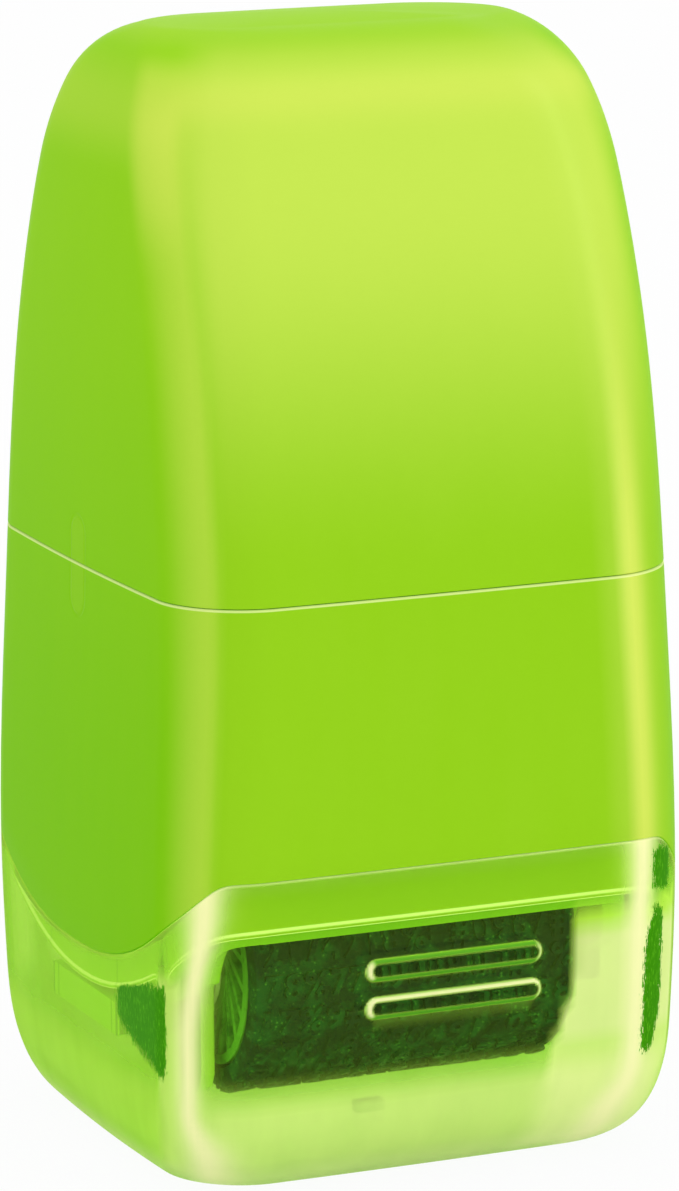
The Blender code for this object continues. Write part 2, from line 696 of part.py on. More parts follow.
def make_end_wheel(side):
    """Ribbed wheel in the drum's end: a rim and a hub joined by thin swept spokes."""
    name = "left" if side < 0 else "right"
    low, high = DRUM_HALF_LENGTH - WHEEL_THICK, DRUM_HALF_LENGTH
    profile = tube_profile(WHEEL_RADIUS, BORE_RADIUS, low, high)
    wheel = turned(f"{name}_end_wheel", profile, (0.0, DRUM_Y, DRUM_Z), side, wheel_green,
                   2 * WHEEL_SPOKES)
    inner = BORE_RADIUS + WHEEL_HUB_WALL
    outer = WHEEL_RADIUS - WHEEL_RIM
    half_angle = math.pi / WHEEL_SPOKES * (1 - SPOKE_SHARE)
    bm = bmesh.new()
    for pocket in range(WHEEL_SPOKES):
        middle = 2 * math.pi * pocket / WHEEL_SPOKES
        corners = []
        for height in (low - OVERRUN, high + OVERRUN):
            for radius, sweep, turn in ((inner, 0.0, -1), (outer, SPOKE_SWEEP, -1),
                                        (outer, SPOKE_SWEEP, 1), (inner, 0.0, 1)):
                angle = middle - sweep + turn * half_angle
                point = (radius * math.cos(angle), radius * math.sin(angle), height)
                corners.append(bm.verts.new(point))
        bmesh.ops.convex_hull(bm, input=corners)
    bmesh.ops.dissolve_limit(bm, angle_limit=FLAT_ANGLE, verts=bm.verts, edges=bm.edges)
    pockets = mesh_object(f"{name}_wheel_pockets", bm)
    pockets.location = wheel.location
    pockets.rotation_euler = wheel.rotation_euler
    boolean(wheel, pockets, "DIFFERENCE")
    shade_round(wheel)


def make_drum_axle():
    axle = mesh_object("drum_axle", rod(AXLE_RADIUS, PLATE_OUTER + GAP / 2), steel)
    axle.location = (0.0, DRUM_Y, DRUM_Z)
    shade_round(axle)


# Ink roller

def make_ink_roller():
    place = (0.0, INK_Y, INK_Z)
    core_profile = tube_profile(INK_CORE_RADIUS, INK_BORE_RADIUS, -DRUM_HALF_LENGTH, DRUM_HALF_LENGTH)
    core = turned("ink_core", core_profile, place, 1, bearing_white)
    felt_profile = tube_profile(INK_RADIUS, FELT_INNER, -DRUM_HALF_LENGTH, DRUM_HALF_LENGTH)
    felt = turned("ink_felt", felt_profile, place, 1, felt_black)
    axle = mesh_object("ink_axle", rod(INK_AXLE_RADIUS, PLATE_OUTER), steel)
    axle.location = place
    for item in (core, felt, axle):
        shade_round(item)


clear_scene()
parts = new_collection(COLLECTION_NAME)
cutters = new_collection(CUTTERS_NAME)

body_green = new_material("body_green", (0.33, 0.68, 0.02), 0.32)
cap_green = new_material("cap_green", (0.55, 0.88, 0.18), 0.12, alpha=0.4)
frame_green = new_material("frame_green", (0.42, 0.78, 0.08), 0.35)
wheel_green = new_material("wheel_green", (0.10, 0.42, 0.06), 0.4)
drum_dark = new_material("drum_dark", (0.03, 0.06, 0.04), 0.5)
rubber_dark = new_material("rubber_dark", (0.02, 0.05, 0.03), 0.7)
felt_black = new_material("felt_black", (0.01, 0.01, 0.012), 0.95)
bearing_white = new_material("bearing_white", (0.75, 0.76, 0.74), 0.4)
steel = new_material("steel", (0.62, 0.62, 0.64), 0.25, metallic=1.0)

make_cap_shell()
make_body_shell()
make_handle_shell()
make_cartridge_case()
make_cartridge_lid()
make_drum_axle()
make_drum_core()
make_drum_sleeve()
make_ink_roller()
for side in (-1, 1):
    make_side_plate(side)
    make_drum_bush(side)
    make_end_wheel(side)
    make_ink_block(side)
    make_ink_spring(side)
    make_release_tab(side)
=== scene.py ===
# Looks of the privacy roller stamp: fine skins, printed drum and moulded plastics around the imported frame.
import math
import random
from functools import cached_property

import bmesh
import bpy
from mathutils import Matrix, Vector


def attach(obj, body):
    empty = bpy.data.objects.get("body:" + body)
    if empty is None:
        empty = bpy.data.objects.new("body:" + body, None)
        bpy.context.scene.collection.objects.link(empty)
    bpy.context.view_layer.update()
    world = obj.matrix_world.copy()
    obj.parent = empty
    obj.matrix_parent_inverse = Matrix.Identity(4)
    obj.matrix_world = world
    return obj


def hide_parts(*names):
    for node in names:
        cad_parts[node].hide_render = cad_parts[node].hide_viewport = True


MM = 0.001

# The shared outer skin, in the same sizes as the solids
HEIGHT = 80.0 * MM
WIDTH = 40.2 * MM
DEPTH = 41.6 * MM
SIDE_BOW = 0.64 * MM
FRONT_BOW = 0.25 * MM
CORNER_LOW = 5.3 * MM
CORNER_HIGH = 6.6 * MM
LEAST_CORNER = 1.0 * MM
CORNER_LIMIT_SHARE = 0.95
CROWN = 0.36 * MM
HEIGHT_SHARES = (0.0, 0.25, 0.5, 0.7, 0.85, 1.0)
WIDTH_SHARES = (0.950, 0.969, 0.931, 0.915, 0.893, 0.839)
DEPTH_SHARES = (0.920, 0.978, 0.979, 0.889, 0.730, 0.505)
BASE_INSET = (4.0 * MM, 6.2 * MM)
BASE_RISE = (9.1 * MM, 10.2 * MM)
BASE_POWER = 2.5
TOP_INSET = (4.6 * MM, 6.0 * MM)
TOP_RISE = (9.9 * MM, 4.4 * MM)
TOP_POWER = 2.15
GAP = 0.3 * MM

# Rim, neck and parting line
CAP_WALL = 1.4 * MM
RIM_SIDE, RIM_FRONT = 15.3 * MM, 23.5 * MM
RIM_REACH, RIM_POWER, RIM_SHARPNESS = 20.5 * MM, 2.5, 20.0
NECK_SIDE, NECK_FRONT = 12.4 * MM, 19.4 * MM
NECK_REACH, NECK_POWER, NECK_SHARPNESS = 19.5 * MM, 2.1, 8.0
NECK_WALL = 1.5 * MM
BODY_WALL = 2.0 * MM
HANDLE_WALL = 1.9 * MM
SPIGOT_WALL = 1.4 * MM
SPIGOT_HEIGHT = 4.0 * MM
NECK_ROOT = 2.6 * MM
STOP_WIDTH = 3.0 * MM
STOP_UNDERSIDE = 36.2 * MM
STOP_THICK = 1.8 * MM
PARTING = 42.5 * MM
PARTING_GAP = 0.05 * MM
SHOULDER_GAP = 0.02 * MM
EDGE = 0.16 * MM
FINE_EDGE = 0.06 * MM
LIP = 0.22 * MM
BODY_EDGE_START = 0.04 * MM

# Bead on the neck's lower edge: heights above that edge, with how far the bead stands proud there
BEAD_PROUD, BEAD_EDGE, BEAD_TOP = 0.12 * MM, 0.1 * MM, 0.55 * MM
BEAD_PROFILE = ((0.2 * MM, BEAD_PROUD), (0.34 * MM, BEAD_PROUD), (0.42 * MM, 0.02 * MM), (0.5 * MM, 0.0))

# Raised bars on the cap's front, and the block on its floor
RIB_LENGTH = 13.3 * MM
RIB_WIDTH = 1.5 * MM
RIB_PITCH = 2.75 * MM
RIB_MIDDLE = 15.0 * MM
RIB_OFFSET = 0.4 * MM
RIB_RELIEF = 0.45 * MM
BLOCK_SIZE = (2.2 * MM, 1.0 * MM, 1.0 * MM)
BLOCK_LIFT, BLOCK_EDGE = 0.52 * MM, 0.15 * MM

# Fineness of the skins, and the shares of a height at which their rings lie
CORNER_STEPS, FLAT_STEPS, EDGE_STEPS = 20, 16, 4
TURN_STEPS, HANDLE_STEPS = 26, 18
RIB_RUN_STEPS, BESIDE_RIB_STEPS = 104, 8
BELOW_RIB_STEPS, RIB_RISE_STEPS, ABOVE_RIB_STEPS = 3, 48, 6
FRONT_HALF_RUN = 14.0 * MM
LEFT_RIB_MARGIN, RIGHT_RIB_MARGIN, RIB_RISE_MARGIN = 0.2 * MM, 0.6 * MM, 0.15 * MM
CROWN_SHARES = (0.97, 0.93, 0.87, 0.78, 0.66, 0.52, 0.36, 0.18)
LINING_SHARES = (0.0, 0.3, 0.6, 0.8, 0.9, 0.96)
BODY_SHARES = (0.1, 0.25, 0.4, 0.55, 0.7, 0.85)
NECK_SHARES = (0.0, 0.3, 0.6)
CAP_INNER_SHARES = (0.8, 0.6, 0.4, 0.2, 0.0)

# Drum and its sleeve
DRUM_RADIUS = 9.6 * MM
DRUM_RELIEF = 0.4 * MM
DRUM_BASE = DRUM_RADIUS - DRUM_RELIEF
DRUM_HALF_LENGTH = 12.2 * MM
DRUM_Y, DRUM_Z = -5.8006 * MM, 14.4 * MM
SLEEVE_WALL, SLEEVE_EDGE = 1.4 * MM, 0.15 * MM
DRUM_STEPS, WHEEL_STEPS, HUB_STEPS, TUBE_EDGE_STEPS = 96, 72, 48, 3

# Digits on the sleeve
DIGIT_ROWS = 23
DIGITS_IN_ROW = 15
DIGIT_SIZE = 2.5 * MM
DIGIT_BOLD = 0.06 * MM
DIGIT_SPACING, DIGIT_STRETCH = 1.12, 1.02
DIGIT_MARGIN, DIGIT_SINK = 0.8 * MM, 0.05 * MM
DIGIT_CURVE_STEPS, DIGIT_SEED = 3, 11

# Wheels in the drum's ends
SIDES = ((-1, "left"), (1, "right"))
WHEEL_RADIUS, WHEEL_RIM, HUB_RADIUS, HUB_BORE = 7.5 * MM, 0.7 * MM, 3.6 * MM, 1.7 * MM
WHEEL_HALF_WIDTH, WHEEL_EDGE = 1.0 * MM, 0.12 * MM
WEB_HALF_WIDTH, WEB_SHIFT, WEB_EDGE, WEB_OVERLAP = 0.3 * MM, 0.65 * MM, 0.05 * MM, 0.1 * MM
SPOKES, SPOKE_WIDTH, SPOKE_EDGE, SPOKE_OVERLAP = 20, 0.5 * MM, 0.07 * MM, 0.15 * MM
SPOKE_SWEEP = math.radians(42.0)

# Ink roller's felt
INK_RADIUS = 5.5 * MM
INK_Y, INK_Z = 4.0988 * MM, 26.1976 * MM
FELT_BORE_SHARE, FELT_OUTSIDE_SHARE = 0.6, 0.8
FELT_EDGE, FELT_FUZZ, FELT_SEED = 0.35 * MM, 0.06, 5

# Heights and places at which the finishes and their painted light change
FACE_RISE, SIDE_RISE, CROWN_FALL = (44 * MM, 70 * MM), (22 * MM, 74 * MM), (76.5 * MM, 79.8 * MM)
DENT_MIDDLE, DENT_HALF_LENGTH, DENT_RADIUS = 42.3 * MM, 2.2 * MM, 1.35 * MM
SLOT_Y, SLOT_X, SLOT_TOP = 6.5 * MM, 16.5 * MM, (18.4 * MM, 18.8 * MM)
PLATE_X = 13.8 * MM
TAB_EDGE_Y, TAB_STEP_Y, TAB_FOOT_Z = 6.15 * MM, 5.2 * MM, -14.05 * MM

# Tints and measures shared by the lime plastics
LIME_SHEEN = (0.62, 0.90, 0.16, 1.0)
CAP_TINT = (0.98, 0.99, 0.91, 1.0)
CAP_SHEEN = (0.42, 0.70, 0.10, 1.0)
CAP_SHADOW = (0.97, 0.99, 0.92, 1.0)
CAP_INDEX = 1.49
CAP_ABSORPTION = (0.78, 0.985, 0.30, 1.0)
CAP_DENSITY = 700.0
CLOUD_SCALE, GRAIN_SCALE = 160.0, 4300.0

# Small edges of the solids that keep their own shape
WELD_DISTANCE = 0.002 * MM
SOFTENED_ANGLE = math.radians(40)
SOLID_EDGE_STEPS = 3

# Stage, and lamps by place, target, size, power and whether they light more than reflections
WHITE = (1.0, 1.0, 1.0, 1.0)
FLOOR_HALF_SIZE, FLOOR_Z, FLOOR_WHITE_SHARE = 3.0, -0.05 * MM, 0.95
WORLD_TINT, WORLD_STRENGTH = (0.97, 0.99, 1.0, 1.0), 0.92
MIDDLE, STRIP_TARGET = (0.0, 0.0, 40 * MM), (0.0, 0.0, 0.15)
LAMPS = {
    "front_soft": ((0.10, -0.62, 0.42), MIDDLE, (0.55, 0.42), 0.45, True),
    "top_soft": ((0.0, 0.05, 0.65), MIDDLE, (0.5, 0.5), 0.3, True),
    "left_strip": ((-0.155, -0.072, 0.15), STRIP_TARGET, (0.045, 0.30), 0.25, False),
    "right_strip": ((0.115, -0.125, 0.15), STRIP_TARGET, (0.05, 0.30), 0.35, False),
    "right_soft": ((0.36, -0.22, 0.12), MIDDLE, (0.10, 0.40), 0.12, True),
}

# Camera, fitted to the photographed outline
IMAGE_WIDTH, IMAGE_HEIGHT = 679, 1191
FOCAL_PIXELS = 5777.0
SENSOR = 36.0
CLIP_START = 0.01
CAMERA_TURN = math.radians(23.337)
CAMERA_LIFT = math.radians(11.911)
CAMERA_ROLL = math.radians(-0.38)
CAMERA_DISTANCE = 414.25 * MM
CAMERA_TARGET = Vector((0.728 * MM, 0.0, 38.309 * MM))


# Shader maths

def operator_pair(operation):
    """An operator and its reflected form, which both add a Math node."""
    def plain(self, other):
        return self.shading.math(operation, self, other)

    def reflected(self, other):
        return self.shading.math(operation, other, self)
    return plain, reflected


class Value:
    """A shader value: an expression on it adds Math nodes."""

    __add__, __radd__ = operator_pair("ADD")
    __sub__, __rsub__ = operator_pair("SUBTRACT")
    __mul__, __rmul__ = operator_pair("MULTIPLY")
    __truediv__, __rtruediv__ = operator_pair("DIVIDE")
    __pow__, __rpow__ = operator_pair("POWER")

    def __init__(self, shading, socket):
        self.shading = shading
        self.socket = socket

    def size(self):
        return self.shading.math("ABSOLUTE", self)

    def at_least(self, other):
        return self.shading.math("MAXIMUM", self, other)

    def clipped(self):
        return self.shading.node("Clamp", {}, {"Value": self})

    def ramp(self, low, high):
        """Smooth step from 0 at low to 1 at high."""
        settings = {"interpolation_type": "SMOOTHSTEP"}
        return self.shading.node("MapRange", settings, {"Value": self, "From Min": low, "From Max": high})

    def line(self, place, core, edge):
        """1 on a thin line at a place, to 0 past its soft edge."""
        return 1.0 - (self - place).size().ramp(core, edge)


class Shading:
    """The node tree of one finish, or of the world."""

    def __init__(self, name, kind="materials"):
        self.owner = getattr(bpy.data, kind).new(name)
        self.owner.use_nodes = True
        self.tree = self.owner.node_tree
        self.tree.nodes.clear()

    def node(self, kind, settings=None, values=None, output=0):
        """Any node: its type, its settings, and the values or links of its sockets."""
        made = self.tree.nodes.new("ShaderNode" + kind)
        for key, value in (settings or {}).items():
            setattr(made, key, value)
        for key, value in (values or {}).items():
            if isinstance(value, Value):
                self.tree.links.new(value.socket, made.inputs[key])
            else:
                made.inputs[key].default_value = value
        return Value(self, made.outputs[output]) if made.outputs else None

    def math(self, operation, *terms):
        return self.node("Math", {"operation": operation}, dict(enumerate(terms)))

    def blend(self, share, first, second):
        """Colour between two colours."""
        first, second = (c if isinstance(c, Value) else (*c, 1.0) for c in (first, second))
        return self.node("Mix", {"data_type": "RGBA"}, {0: share, 6: first, 7: second}, output=2)

    @cached_property
    def place(self):
        """Point of the piece in the shared frame."""
        return self.node("TexCoord", output="Object")

    def facing(self):
        """Direction that the surface faces, by its three axes."""
        return self.axes(self.node("TexCoord", output="Normal"))

    def mask(self, name):
        """A share stored on the piece's points."""
        return self.node("Attribute", {"attribute_name": name}, output="Fac")

    def ray(self, kind):
        return self.node("LightPath", output=f"Is {kind} Ray")

    def background_ray(self):
        """1 where the camera, a reflection or a see-through piece looks at the studio."""
        return (self.ray("Camera") + self.ray("Glossy") + self.ray("Transmission")).clipped()

    def pill(self, across, along, middle, half_length, radius):
        """Thin outline of a pill standing on end, and the whole of it."""
        over = ((along - middle).size() - half_length).at_least(0.0)
        away = (across * across + over * over) ** 0.5 - radius
        return away.line(0.0, 0.05 * MM, 0.22 * MM), 1.0 - away.ramp(-0.3 * MM, 0.1 * MM)

    def axes(self, vector):
        return [self.node("SeparateXYZ", {}, {0: vector}, output=axis) for axis in range(3)]

    def noise(self, scale, detail=3.0, roughness=0.5, stretch=(1.0, 1.0, 1.0)):
        """Noise over the shared frame, drawn out along the axes where stretch is small."""
        vector = self.node("VectorMath", {"operation": "MULTIPLY"}, {0: self.place, 1: stretch})
        values = {"Vector": vector, "Scale": scale, "Detail": detail, "Roughness": roughness}
        return self.node("TexNoise", {}, values)

    def bump(self, height, distance, strength=1.0, normal=None):
        values = {"Height": height, "Distance": distance, "Strength": strength}
        if normal is not None:
            values["Normal"] = normal
        return self.node("Bump", {}, values)

    def mix_shader(self, share, first, second):
        return self.node("MixShader", {}, {0: share, 1: first, 2: second})

    def principled(self, **values):
        spaced = {key.replace("_", " "): value for key, value in values.items()}
        return self.node("BsdfPrincipled", {}, spaced)

    def finish(self, shader, **others):
        """The finish, made of a surface shader and, where given, a Volume shader."""
        self.node("OutputMaterial", {}, {"Surface": shader, **others})
        return self.owner

    def surface(self, colour, roughness, normal, **others):
        """The finish, made of one Principled shader."""
        return self.finish(self.principled(Base_Color=colour, Roughness=roughness, Normal=normal, **others))


# Finishes

def lime_gloss(level):
    """Weak reflections with the tint of the lime plastics."""
    return {"Specular_IOR_Level": level, "Specular_Tint": LIME_SHEEN}


def body_plastic():
    """Opaque lime plastic with painted light: narrow sides darker, wide faces paler high up, and painted
    highlights on the rounded corners, edges and neck bead.
    """
    s = Shading("body_lime")
    x, y, z = s.axes(s.place)
    wide, glow, neck, edge = (s.mask(name) for name in ("wide", "glow", "neck", "edge"))
    rise = z.ramp(*FACE_RISE) * (1.0 - z.ramp(*CROWN_FALL) * 0.55)
    cloud = s.noise(90.0, 2.0)
    flow = s.noise(420.0, stretch=(1.0, 1.0, 0.18))
    grain = s.noise(5200.0, 2.0, 0.6)
    # Painted shade and light: the narrow sides darker than the wide faces, and both paler higher up
    sides = s.blend(z.ramp(*SIDE_RISE) * 0.9 + cloud * 0.1, (0.210, 0.590, 0.003), (0.305, 0.680, 0.009))
    faces = s.blend(rise * 0.94 + cloud * 0.06, (0.295, 0.640, 0.009), (0.580, 0.800, 0.085))
    within = s.blend(wide, (0.48, 0.79, 0.050), (0.530, 0.670, 0.075))
    outline, dent = s.pill(y, z, DENT_MIDDLE, DENT_HALF_LENGTH, DENT_RADIUS)
    colour = s.blend(neck, s.blend(wide, sides, faces), within)
    # Painted highlights on the rounded corners, the brow and the shoulders
    colour = s.blend(glow + flow * 0.03 + dent * 0.05, colour, (0.80, 0.87, 0.135))
    # Painted highlights on the edge rings and the neck's bead; the bead also glows by emission
    bead = edge * neck
    colour = s.blend(edge * 0.65 + bead * 0.3, colour, (0.90, 0.97, 0.40))
    slots = y.size().line(SLOT_Y, 0.06 * MM, 0.2 * MM) * (1.0 - z.ramp(*SLOT_TOP))
    slots = slots * (x.size() - SLOT_X).ramp(0.0, 0.3 * MM) * neck
    colour = s.blend(slots * 0.45, colour, (0.16, 0.45, 0.01))
    lines = s.node("TexWave", {"bands_direction": "Z", "wave_profile": "SIN"},
                   {"Vector": s.place, "Scale": 900.0, "Distortion": 1.2, "Detail": 2.0})
    pressed = s.bump(1.0 - (outline + slots), 0.06 * MM, 0.6, s.bump(lines, 0.004 * MM, 0.35))
    return s.surface(colour, 0.34 + grain * 0.08 + flow * 0.05, s.bump(grain, 0.010 * MM, 0.5, pressed),
                     IOR=1.5, **lime_gloss(0.01), Coat_Weight=s.mask("sheen") * 0.08, Coat_Roughness=0.3,
                     Emission_Color=s.blend(bead, (0.0, 0.0, 0.0), (1.0, 0.80, 0.85)),
                     Emission_Strength=0.45)


def cap_plastic():
    """Clear plastic tinted through its thickness, frosted at its edges, foot and corners, with painted
    highlights and painted shade in its cloudy layer.
    """
    s = Shading("cap_clear_lime")
    streak = s.noise(260.0, stretch=(1.0, 1.0, 0.3))
    ragged = s.noise(2600.0, 3.0, 0.75, (3.0, 3.0, 0.55))
    normal = s.bump(s.noise(140.0, 1.0), 0.05 * MM, 0.2)
    bent = s.node("BsdfRefraction", {},
                  {"Color": CAP_TINT, "Roughness": 0.05, "IOR": CAP_INDEX, "Normal": normal})
    gleam = s.node("BsdfAnisotropic", {}, {"Color": CAP_SHEEN, "Roughness": 0.08, "Normal": normal})
    clear = s.mix_shader(s.node("Fresnel", {}, {"IOR": CAP_INDEX}), bent, gleam)
    frost_and_highlight, pale, painted_rib_shade, painted_shade = (s.mask(name) for name in ("frost_and_highlight", "pale", "painted_rib_shade", "painted_shade"))
    painted_shade = (painted_shade + (ragged - 0.5) * 2.0 * painted_shade.ramp(0.0, 0.1)).ramp(0.44, 0.56)
    haze_and_painted_light = s.blend(streak, (0.44, 0.78, 0.045), (0.52, 0.84, 0.075))
    # Painted highlights in pale
    haze_and_painted_light = s.blend(pale, haze_and_painted_light, (0.89, 0.87, 0.43))
    # Painted shade around the bars
    haze_and_painted_light = s.blend(painted_rib_shade, haze_and_painted_light, (0.10, 0.36, 0.02))
    # Painted shade in the dark strips and the patch, mottled
    mottled = s.blend(ragged.ramp(0.50, 0.72), (0.040, 0.240, 0.002), (0.110, 0.430, 0.010))
    haze_and_painted_light = s.blend(painted_shade, haze_and_painted_light, mottled)
    # The cloudy layer also glows a little by emission, as painted light
    milky = s.principled(Base_Color=haze_and_painted_light, Roughness=0.4, **lime_gloss(0.01),
                         Emission_Color=haze_and_painted_light, Emission_Strength=0.14)
    share = (frost_and_highlight * (0.88 + streak * 0.24) + painted_shade * 0.9).clipped()
    through = s.node("BsdfTransparent", {}, {"Color": CAP_SHADOW})
    soft_rays = (s.ray("Shadow") + s.ray("Diffuse")).clipped()
    depth = s.node("VolumeAbsorption", {}, {"Color": CAP_ABSORPTION, "Density": CAP_DENSITY})
    return s.finish(s.mix_shader(soft_rays, s.mix_shader(share, clear, milky), through), Volume=depth)


def block_plastic():
    """Cloudy deeper green where the cap's plastic is thickest."""
    s = Shading("cap_block_green")
    cloud = s.noise(700.0)
    return s.surface(s.blend(cloud, (0.48, 0.77, 0.10), (0.58, 0.84, 0.15)), 0.4 + cloud * 0.1,
                     s.bump(cloud, 0.02 * MM, 0.4), **lime_gloss(0.2))


def moulded(s):
    """Slow cloud of colour and fine grain of the cartridge's plastics."""
    return s.noise(CLOUD_SCALE), s.noise(GRAIN_SCALE, 2.0)


def frame_plastic():
    """Pale lime plastic of the cartridge."""
    s = Shading("frame_lime")
    cloud, grain = moulded(s)
    return s.surface(s.blend(cloud, (0.44, 0.76, 0.07), (0.56, 0.84, 0.13)), 0.32 + grain * 0.08,
                     s.bump(grain, 0.008 * MM, 0.5), **lime_gloss(0.25))


def plate_plastic():
    """Side plates: pale moulded edges and inner faces, with outer faces painted a deeper green as shade."""
    s = Shading("plate_lime")
    cloud, grain = moulded(s)
    # Painted shade on the outer faces
    outward = (s.facing()[0] * s.axes(s.place)[0] / PLATE_X).ramp(0.6, 0.95)
    pale = s.blend(cloud, (0.56, 0.86, 0.11), (0.68, 0.93, 0.19))
    painted_shade = s.blend(cloud, (0.050, 0.260, 0.004), (0.085, 0.330, 0.008))
    return s.surface(s.blend(outward, pale, painted_shade), 0.32 + grain * 0.08, s.bump(grain, 0.008 * MM, 0.5),
                     **lime_gloss(0.2))


def tab_plastic():
    """Release tabs, measured from their bending line: pale faces with fine grooves, and ends painted a deeper
    green as shade.
    """
    s = Shading("tab_lime")
    cloud, grain = moulded(s)
    y, z = s.axes(s.place)[1:]
    facing_x, facing_y = s.facing()[:2]
    edge = y.size().line(TAB_EDGE_Y, 0.08 * MM, 0.26 * MM)
    step = y.size().line(TAB_STEP_Y, 0.04 * MM, 0.18 * MM)
    foot = z.line(TAB_FOOT_Z, 0.08 * MM, 0.24 * MM)
    grooves = (edge + step * 0.6 + foot).clipped() * facing_x.size().ramp(0.5, 0.9)
    pale = s.blend(cloud, (0.42, 0.76, 0.06), (0.50, 0.82, 0.10))
    # Painted shade on the ends
    painted_shade = s.blend(cloud, (0.040, 0.250, 0.004), (0.075, 0.320, 0.008))
    colour = s.blend(facing_y.size().ramp(0.6, 0.95), pale, painted_shade)
    return s.surface(s.blend(grooves, colour, (0.07, 0.30, 0.01)), 0.34 + grain * 0.08,
                     s.bump(grain - grooves, 0.02 * MM, 0.4), **lime_gloss(0.15))


def wheel_plastic():
    """Green of the drum's end wheels, smeared with ink."""
    s = Shading("wheel_green")
    smear = s.noise(700.0, 4.0, 0.65)
    return s.surface(s.blend(smear.ramp(0.48, 0.70), (0.190, 0.500, 0.090), (0.050, 0.20, 0.04)),
                     0.36 + smear * 0.2, s.bump(s.noise(5000.0, 2.0), 0.01 * MM, 0.5), Specular_IOR_Level=0.3)


def core_plastic():
    """Dark plastic inside the drum, also put on the wheels' webs as painted shade between the spokes."""
    s = Shading("core_dark")
    smear = s.noise(500.0, 4.0)
    return s.surface(s.blend(smear, (0.012, 0.070, 0.030), (0.022, 0.130, 0.050)), 0.42 + smear * 0.15,
                     s.bump(s.noise(4800.0), 0.01 * MM, 0.5))


def inked_rubber():
    """Dark rubber with wet ink on it and small greenish flecks."""
    s = Shading("rubber_inked")
    wet = s.noise(520.0, 4.0, 0.6)
    grain = s.noise(6500.0, 2.0)
    cells = s.node("TexVoronoi", {}, {"Vector": s.place, "Scale": 2600.0})
    flecks = (1.0 - cells.ramp(0.05, 0.34)) * wet.ramp(0.42, 0.60)
    colour = s.blend(wet.ramp(0.42, 0.62), (0.003, 0.013, 0.048), (0.005, 0.080, 0.066))
    return s.surface(s.blend(flecks * 0.8, colour, (0.10, 0.38, 0.10)), 0.66 - wet.ramp(0.45, 0.7) * 0.3,
                     s.bump(grain, 0.02 * MM, 0.6, s.bump(wet, 0.05 * MM, 0.5)), Specular_IOR_Level=0.12)


def inked_felt():
    """Black felt, soaked with ink."""
    s = Shading("felt_inked")
    fibre = s.noise(3800.0, 5.0, 0.7, (0.35, 1.0, 1.0))
    soak = s.noise(300.0, 2.0)
    colour = s.blend(fibre * 0.6 + soak * 0.4, (0.006, 0.006, 0.008), (0.035, 0.036, 0.042))
    return s.surface(colour, 0.78 + fibre * 0.2, s.bump(fibre, 0.08 * MM, 0.9),
                     Sheen_Weight=0.25, Sheen_Roughness=0.6)


def bearing_plastic():
    """White plastic of the bushes and the ink roller's bearings, with ink stains."""
    s = Shading("bearing_white")
    ink = s.noise(620.0, 4.0, 0.6).ramp(0.62, 0.74)
    colour = s.blend(s.noise(240.0), (0.70, 0.71, 0.67), (0.80, 0.80, 0.77))
    return s.surface(s.blend(ink * 0.5, colour, (0.16, 0.17, 0.18)), 0.38 + ink * 0.1,
                     s.bump(s.noise(4200.0), 0.01 * MM, 0.4))


def ground_steel():
    """Steel with fine grinding marks around it."""
    s = Shading("steel_ground")
    turning = s.noise(900.0, stretch=(9.0, 1.0, 1.0))
    return s.surface(s.blend(turning, (0.52, 0.53, 0.55), (0.70, 0.71, 0.73)), 0.2 + turning * 0.14,
                     s.bump(turning, 0.004 * MM, 0.6), Metallic=1.0)


# The outer skin

def smooth_share(share, values):
    """Cubic through the shares of HEIGHT_SHARES, with slopes from their neighbours."""
    knots = HEIGHT_SHARES
    share = min(max(share, knots[0]), knots[-1])
    last = len(knots) - 1
    k = max(i for i in range(last) if knots[i] <= share)

    def slope(i):
        low, high = max(i - 1, 0), min(i + 1, last)
        return (values[high] - values[low]) / (knots[high] - knots[low])

    span = knots[k + 1] - knots[k]
    t = (share - knots[k]) / span
    start = values[k] * (1 + 2 * t) * (1 - t) ** 2 + slope(k) * span * t * (1 - t) ** 2
    end = values[k + 1] * t * t * (3 - 2 * t) + slope(k + 1) * span * t * t * (t - 1)
    return start + end


def rounding(inset, rise, height, power):
    """Inset of a rounded edge at a height above its tip."""
    share = min(max((rise - height) / rise, 0.0), 1.0)
    return inset * (1 - (1 - share ** power) ** (1 / power))


def half_sizes(z, floor=0.0):
    """Half width and half depth of the skin at a height, with its foot rounding lifted to a floor."""
    halves = []
    for full, shares, i in ((WIDTH, WIDTH_SHARES, 0), (DEPTH, DEPTH_SHARES, 1)):
        half = full / 2 * smooth_share(z / HEIGHT, shares)
        half -= rounding(BASE_INSET[i] - floor, BASE_RISE[i] - floor, z - floor, BASE_POWER)
        half -= rounding(TOP_INSET[i], TOP_RISE[i], HEIGHT - z, TOP_POWER)
        halves.append(half)
    return halves


def corner_radius(z, half_x, half_y, inset):
    share = z / HEIGHT
    radius = CORNER_LOW * (1 - share) + CORNER_HIGH * share - inset
    return min(max(radius, LEAST_CORNER), CORNER_LIMIT_SHARE * min(half_x, half_y))


def even(count):
    return [step / count for step in range(1, count)]


def rib_shares():
    """Shares along the wide front, close together under the raised bars."""
    ends = (RIB_OFFSET - RIB_LENGTH / 2 - LEFT_RIB_MARGIN, RIB_OFFSET + RIB_LENGTH / 2 + RIGHT_RIB_MARGIN)
    start, end = ((place + FRONT_HALF_RUN) / (2 * FRONT_HALF_RUN) for place in ends)
    before = [start * share for share in even(BESIDE_RIB_STEPS)]
    under = [start + (end - start) * step / RIB_RUN_STEPS for step in range(RIB_RUN_STEPS + 1)]
    after = [end + (1 - end) * share for share in even(BESIDE_RIB_STEPS)]
    return before + under + after


